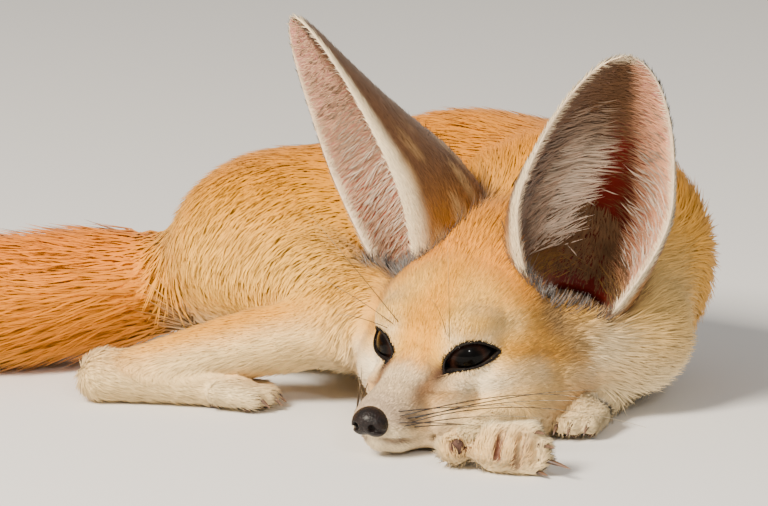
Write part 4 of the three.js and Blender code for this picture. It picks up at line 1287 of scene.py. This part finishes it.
# Geometry Nodes tree that grows tufts from a surface. The surface says where they are and how they lie.
def coatTree():
    tree = bpy.data.node_groups.new("grow coat", "GeometryNodeTree")
    sockets = dict(
        Geometry=("Surface",), Float=("Density", "Jitter", "Clump", "Clump Size", "Roll", "Own Shade"),
        Int=("Seed",), Collection=("Tufts",), Material=("Material",),
    )
    for kind, names in sockets.items():
        for name in names:
            tree.interface.new_socket(name, in_out="INPUT", socket_type="NodeSocket" + kind)
    tree.interface.new_socket("Coat", in_out="OUTPUT", socket_type="NodeSocketGeometry")
    source = addNode(tree, "NodeGroupInput").outputs

    def named(name, kind="FLOAT"):
        node = addNode(tree, "GeometryNodeInputNamedAttribute", {"Name": name}, data_type=kind)
        return node.outputs["Attribute"]

    def vector(operation, a, b=None, scale=None):
        inputs = {key: value for key, value in {0: a, 1: b, "Scale": scale}.items() if value is not None}
        return addNode(tree, "ShaderNodeVectorMath", inputs, operation=operation).outputs[0]

    def maths(operation, a, b=0.0):
        return addNode(tree, "ShaderNodeMath", {0: a, 1: b}, operation=operation).outputs[0]

    def chance(low, high, seed):
        node = addNode(tree, "FunctionNodeRandomValue", data_type="FLOAT")
        node.inputs[2].default_value, node.inputs[3].default_value = low, high
        tree.links.new(maths("ADD", source["Seed"], seed), node.inputs["Seed"])
        return node.outputs[1]

    # Roots: scattered by how crowded the coat is, each remembering its place for the bake's map.
    crowd = maths("MULTIPLY", named("crowd"), source["Density"])
    scatter = addNode(tree, "GeometryNodeDistributePointsOnFaces", {
        "Mesh": source["Surface"], "Density": crowd, "Seed": source["Seed"],
    }, distribute_method="RANDOM")
    spot = addNode(tree, "GeometryNodeInputPosition").outputs[0]
    store = addNode(tree, "GeometryNodeStoreNamedAttribute", {
        "Geometry": scatter.outputs["Points"], "Name": "root", "Value": spot,
    }, data_type="FLOAT_VECTOR", domain="POINT")

    # Lie: the surface's own, gone astray a little for each tuft and more for a clump together.
    wild = addNode(tree, "FunctionNodeRandomValue", data_type="FLOAT_VECTOR")
    wild.inputs[0].default_value, wild.inputs[1].default_value = (-1, -1, -1), (1, 1, 1)
    tree.links.new(source["Seed"], wild.inputs["Seed"])
    drift = addNode(tree, "ShaderNodeTexNoise", {
        "Vector": spot, "Scale": maths("DIVIDE", 1.0, source["Clump Size"]), "Detail": 1.0,
    })
    drift = vector("SUBTRACT", drift.outputs["Color"], (0.5, 0.5, 0.5))
    way = named("lie", "FLOAT_VECTOR")
    way = vector("ADD", way, vector("SCALE", wild.outputs[0], scale=source["Jitter"]))
    way = vector("ADD", way, vector("SCALE", drift, scale=source["Clump"]))
    up = named("up", "FLOAT_VECTOR")
    over = addNode(tree, "ShaderNodeVectorMath", {0: way, 1: up}, operation="DOT_PRODUCT").outputs["Value"]
    way = vector("NORMALIZE", vector("SUBTRACT", way, vector("SCALE", up, scale=over)))
    lift = maths("MULTIPLY", maths("RADIANS", named("lift")), chance(0.55, 1.45, 11.0))
    flat = vector("SCALE", way, scale=maths("COSINE", lift))
    way = vector("ADD", flat, vector("SCALE", up, scale=maths("SINE", lift)))
    turn = addNode(tree, "FunctionNodeAxesToRotation", {0: way, 1: up}, primary_axis="X", secondary_axis="Z")
    roll = maths("MULTIPLY", chance(-1.0, 1.0, 23.0), source["Roll"])
    spin = addNode(tree, "FunctionNodeAxisAngleToRotation", {"Axis": (1, 0, 0), "Angle": roll})
    turn = addNode(tree, "FunctionNodeRotateRotation", {0: turn.outputs[0], 1: spin.outputs[0]},
                   rotation_space="LOCAL")
    reach = maths("MULTIPLY", named("reach"), chance(0.65, 1.2, 37.0))
    girth = maths("MULTIPLY", named("girth"), chance(0.7, 1.25, 41.0))
    size = addNode(tree, "ShaderNodeCombineXYZ", {0: reach, 1: girth, 2: reach}).outputs[0]
    kinds = addNode(tree, "GeometryNodeCollectionInfo", {
        "Collection": source["Tufts"], "Separate Children": True, "Reset Children": True,
    })
    grown = addNode(tree, "GeometryNodeInstanceOnPoints", {
        "Points": store.outputs["Geometry"], "Instance": kinds.outputs[0], "Pick Instance": True,
        "Rotation": turn.outputs[0], "Scale": size,
    })
    shaded = addNode(tree, "GeometryNodeStoreNamedAttribute", {
        "Geometry": grown.outputs["Instances"], "Name": "shade", "Value": chance(0.0, 1.0, 53.0),
    }, data_type="FLOAT", domain="INSTANCE")

    # Light falls on each tuft mostly as on the skin below it, so the coat shades softly.
    real = addNode(tree, "GeometryNodeRealizeInstances", {"Geometry": shaded.outputs["Geometry"]})
    facing = addNode(tree, "GeometryNodeInputNormal").outputs["Normal"]
    facing = vector("ADD", vector("SCALE", facing, scale=source["Own Shade"]), named("up", "FLOAT_VECTOR"))
    soft = addNode(tree, "GeometryNodeSetMeshNormal", mode="FREE", domain="POINT")
    tree.links.new(real.outputs[0], soft.inputs["Mesh"])
    tree.links.new(vector("NORMALIZE", facing), soft.inputs["Custom Normal"])
    done = addNode(tree, "GeometryNodeSetMaterial", {
        "Geometry": soft.outputs[0], "Material": source["Material"],
    })
    addNode(tree, "NodeGroupOutput", {0: done.outputs[0]})
    return tree


growCoat = coatTree()


def setInput(modifier, name, value):
    sockets = modifier.node_group.interface.items_tree
    modifier[next(s.identifier for s in sockets if s.name == name and s.in_out == "INPUT")] = value


# Where a root lies on an unwrap of its own part: round the part's axis and along it.
def unwrap(roots, charts):
    flat = np.zeros((len(roots), 2))
    used = np.unique(charts)
    for column, chart in enumerate(used):
        picked = charts == chart
        origin, axis, side = chartAxes[chart]
        q = roots[picked] - origin
        over = np.cross(axis, side)
        distance = q @ axis
        turn = np.arctan2(q @ over, q @ side) / (2 * math.pi) + 0.5
        distance = (distance - distance.min()) / max(np.ptp(distance), 1e-9)
        flat[picked, 0] = (column + 0.01 + 0.98 * turn) / len(used)
        flat[picked, 1] = 0.005 + 0.99 * distance
    return flat


def chartAxis(start, end, side):
    start, axis = np.array(start, float), unit(np.array(end, float) - start)
    side = np.array(side, float)
    return start, axis, unit(side - (side @ axis) * axis)


# A chart for each part, and one for each ear's back and hollow. A part's chart is cut open along its
# top, and an ear's along the back of it.
down = (0, 0, -1)
chartNames = partNames + ["leftEarBack", "leftEarHollow", "rightEarBack", "rightEarHollow"]
chartAxes = [chartAxis(place((46, 0, -6)), place((-60, 0, 4)), down)]
for name in partNames[1:]:
    line = neckLine[:2] if name == "neck" else partLine(name)
    chartAxes.append(chartAxis(line[0], line[-1], down))
turn = math.radians(earSpec["turn"])
for side in (1, -1):
    notch, tip = (np.array(earSpec[key], float) * (1, side, 1) for key in ("notch", "tip"))
    facing = place((math.cos(turn), math.sin(turn) * side, 0)) - place((0, 0, 0))
    chartAxes += [chartAxis(place(notch), place(tip), facing)] * 2

faceChart = [np.argmax(share, 0)[bodyFaces[:, 0]]]
for i, ear in enumerate(earParts.values()):
    faceChart.append(len(partNames) + 2 * i + (ear["inner"][ear["faces"]].mean(1) > 0.5).astype(int))
faceChart = np.concatenate(faceChart)


def facesOf(*endings):
    return np.isin(faceChart, [i for i, name in enumerate(chartNames) if name.endswith(endings)])


# What each tuft takes from the skin where it grows, and how wide its patch is on the bake's map.
coatKinds = dict(
    FLOAT=("crowd", "reach", "girth", "lift", "ticked"), FLOAT_VECTOR=("lie", "up"), FLOAT_COLOR=("tint",),
)
bakePatch = 0.003
lowestHair = 0.0003


# Grows one coat piece from the faces picked, with about that many tufts. Jitter and clump say how far
# the tufts stray alone and together, and ownShade how much each is shaded by its own facets.
def coatPiece(name, picked, tuftKind, tuftCount, slot, seed, jitter=0.22, clump=0.5, clumpSize=5.0,
              roll=25.0, ownShade=0.3, material="fur", own={}):
    used, faces = np.unique(skinFaces[picked], return_inverse=True)
    faces = faces.reshape(-1, 4)
    points = skinPoints[used]
    plot = makeMesh(name + "_plot", points, faces)
    values = {key: own.get(key, skinLooks[key])[used] for keys in coatKinds.values() for key in keys}
    values["reach"], values["girth"] = values["reach"] / 1000, values["girth"] / 1000
    for kind, keys in coatKinds.items():
        for key in keys:
            setAttribute(plot.data, key, values[key], kind)
    setAttribute(plot.data, "chart", faceChart[picked], "INT", "FACE")
    a, b, c, d = (toFrame(points)[faces[:, i]] for i in range(4))
    area = np.linalg.norm(np.cross(c - a, d - b), axis=1) / 2
    wanted = (area * values["crowd"][faces].mean(1)).sum()
    modifier = plot.modifiers.new("coat", "NODES")
    modifier.node_group = growCoat
    inputs = {
        "Density": tuftCount / wanted, "Jitter": jitter, "Clump": clump, "Clump Size": clumpSize / 1000,
        "Roll": math.radians(roll), "Own Shade": ownShade, "Seed": seed, "Tufts": tufts[tuftKind],
        "Material": materials[material],
    }
    for key, value in inputs.items():
        setInput(modifier, key, value)
    plot.update_tag()
    bpy.context.view_layer.update()
    graph = bpy.context.evaluated_depsgraph_get()
    mesh = bpy.data.meshes.new_from_object(plot.evaluated_get(graph), depsgraph=graph)
    bpy.data.meshes.remove(plot.data)
    mesh.name = name
    piece = bpy.data.objects.new(name, mesh)
    bpy.context.scene.collection.objects.link(piece)

    def read(data, slot, width=1, kind=np.float32):
        values = np.empty(len(data) * width, kind)
        data.foreach_get(slot, values)
        return values.reshape(-1, width) if width > 1 else values

    # No hair goes below the floor, and each tuft has its own patch at its root's place on the map.
    spots = read(mesh.vertices, "co", 3)
    spots[:, 2] = np.maximum(spots[:, 2], lowestHair)
    mesh.vertices.foreach_set("co", spots.ravel())
    roots = read(mesh.attributes["root"].data, "vector", 3) * 1000 - modelShift
    charts = read(mesh.attributes["chart"].data, "value", kind=np.int32)
    side, along = (read(mesh.attributes[key].data, "value") for key in ("side", "along"))
    flat = unwrap(roots, charts) + np.stack([side, along - 0.5], 1) * bakePatch
    vertex = read(mesh.loops, "vertex_index", kind=np.int32)
    layer = mesh.uv_layers.new(name="OFBake")
    layer.data.foreach_set("uv", flat[vertex].astype(np.float32).ravel())
    for key in ("root", "lie", "up", "reach", "girth", "lift", "crowd", "chart", "side"):
        mesh.attributes.remove(mesh.attributes[key])
    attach(piece, "root")
    report(f"{name}: {len(mesh.polygons)} triangles")


# The face's short fur gives way to the crown's and ruff's longer fur this far behind the eyes.
crownStart = -22
front = inHead(skinPoints[skinFaces].mean(1))[:, 0] > crownStart
coatPiece("coat_face", facesOf("head") & front, "short", 48000, "pale_coat", 3,
          jitter=0.18, clump=0.6, clumpSize=4.0, ownShade=0.9)
coatPiece("coat_crown", facesOf("head") & ~front, "long", 28000, "coat", 5,
          jitter=0.2, clumpSize=6.0, ownShade=0.75)
coatPiece("coat_ear_backs", facesOf("EarBack"), "short", 26000, "dark_coat", 7,
          jitter=0.14, clump=0.4, clumpSize=4.0)
coatPiece("coat_ear_hollows", facesOf("EarHollow"), "short", 24000, "ear", 9, jitter=0.2, clump=0.6)

# Long pale hair combed in over each ear's hollow: thickest from the side next to the crown.
t, lateral = (np.concatenate([np.zeros(len(bodyPoints))] + [ear[key] for ear in earParts.values()])
              for key in ("t", "lateral"))
medial = ramp(-lateral, 0.1, 0.26) * (1 - ramp(-lateral, 0.55, 0.85)) * (1 - ramp(t, 0.55, 0.8))
outer = 0.16 * ramp(lateral, 0.42, 0.6) * (1 - ramp(lateral, 0.85, 1.0)) * (1 - ramp(t, 0.75, 0.95))
strandTint = np.tile(colour("f1dac2"), (len(t), 1))
strands = dict(
    crowd=(medial + outer) * ramp(t, 0.01, 0.07) + 1e-3,
    reach=np.where(lateral < 0, 16.0, 8.0) * (1 - 0.5 * ramp(t, 0.4, 0.8)),
    girth=np.full(len(t), 0.55), lift=np.full(len(t), 17.0),
    tint=paint(strandTint, "75583f", 0.9 * np.maximum(ramp(t, 0.35, 0.65), ramp(-lateral, 0.4, 0.6))),
)
coatPiece("hair_ear_strands", facesOf("EarHollow"), "long", 5600, "ear", 10,
          jitter=0.2, clump=1.3, clumpSize=6.0, roll=50, material="earHair", own=strands)
coatPiece("coat_neck", facesOf("neck"), "long", 33000, "coat", 11, clumpSize=9.0, ownShade=0.18)
coatPiece("coat_trunk", facesOf("torso"), "long", 32000, "coat", 13, clumpSize=10.0, ownShade=0.15)
coatPiece("coat_thighs", facesOf("Thigh"), "long", 22000, "coat", 15, clumpSize=9.0, ownShade=0.15)
coatPiece("coat_legs", facesOf("Shank", "Foot", "Leg", "Paw"), "short", 44000, "pale_coat", 17,
          jitter=0.2, clumpSize=6.0)
coatPiece("coat_tail", facesOf("tail"), "long", 28000, "tail_coat", 19, clumpSize=12.0, ownShade=0.15)
for group in tufts.values():
    for tuft in list(group.objects):
        bpy.data.objects.remove(tuft)
    bpy.data.collections.remove(group)

# Camera at the photograph's viewpoint, a plain floor, a warm key light from the left, a small one that
# the eyes catch, and an even studio round them.
cameraSpec = dict(place=(-2.834, -1602.797, 349.298), tilt=79.0, lens=206.8, sensor=36)
camera = bpy.data.objects.new("camera", bpy.data.cameras.new("camera"))
bpy.context.scene.collection.objects.link(camera)
camera.location = toFrame(cameraSpec["place"])
camera.rotation_euler = (math.radians(cameraSpec["tilt"]), 0, 0)
camera.data.lens = cameraSpec["lens"]
camera.data.sensor_width = cameraSpec["sensor"]
bpy.context.scene.camera = camera

floorCorners = 4000 * np.array([(-1, -1, 0), (1, -1, 0), (1, 1, 0), (-1, 1, 0)])
floor = makeMesh("floor", floorCorners, np.array([[0, 1, 2, 3]]))
lights = dict(
    key=dict(place=(-0.9, -1.2, 1.3), tilt=49, turn=-37, power=95, size=0.6, tint=(1.0, 0.89, 0.74)),
    catch=dict(place=(0.43, -1.35, 0.76), tilt=62, turn=14, power=5, size=0.12, tint=(1.0, 0.97, 0.92)),
)
studio = dict(tint=(1.0, 0.96, 0.9), strength=0.45)
for name, spec in lights.items():
    light = bpy.data.objects.new(name, bpy.data.lights.new(name, "AREA"))
    light.data.energy, light.data.size, light.data.color = spec["power"], spec["size"], spec["tint"]
    bpy.context.scene.collection.objects.link(light)
    light.location = spec["place"]
    light.rotation_euler = (math.radians(spec["tilt"]), 0, math.radians(spec["turn"]))
world = bpy.data.worlds.new("studio")
world.use_nodes = True
background = world.node_tree.nodes["Background"].inputs
background["Color"].default_value = (*studio["tint"], 1)
background["Strength"].default_value = studio["strength"]
bpy.context.scene.world = world
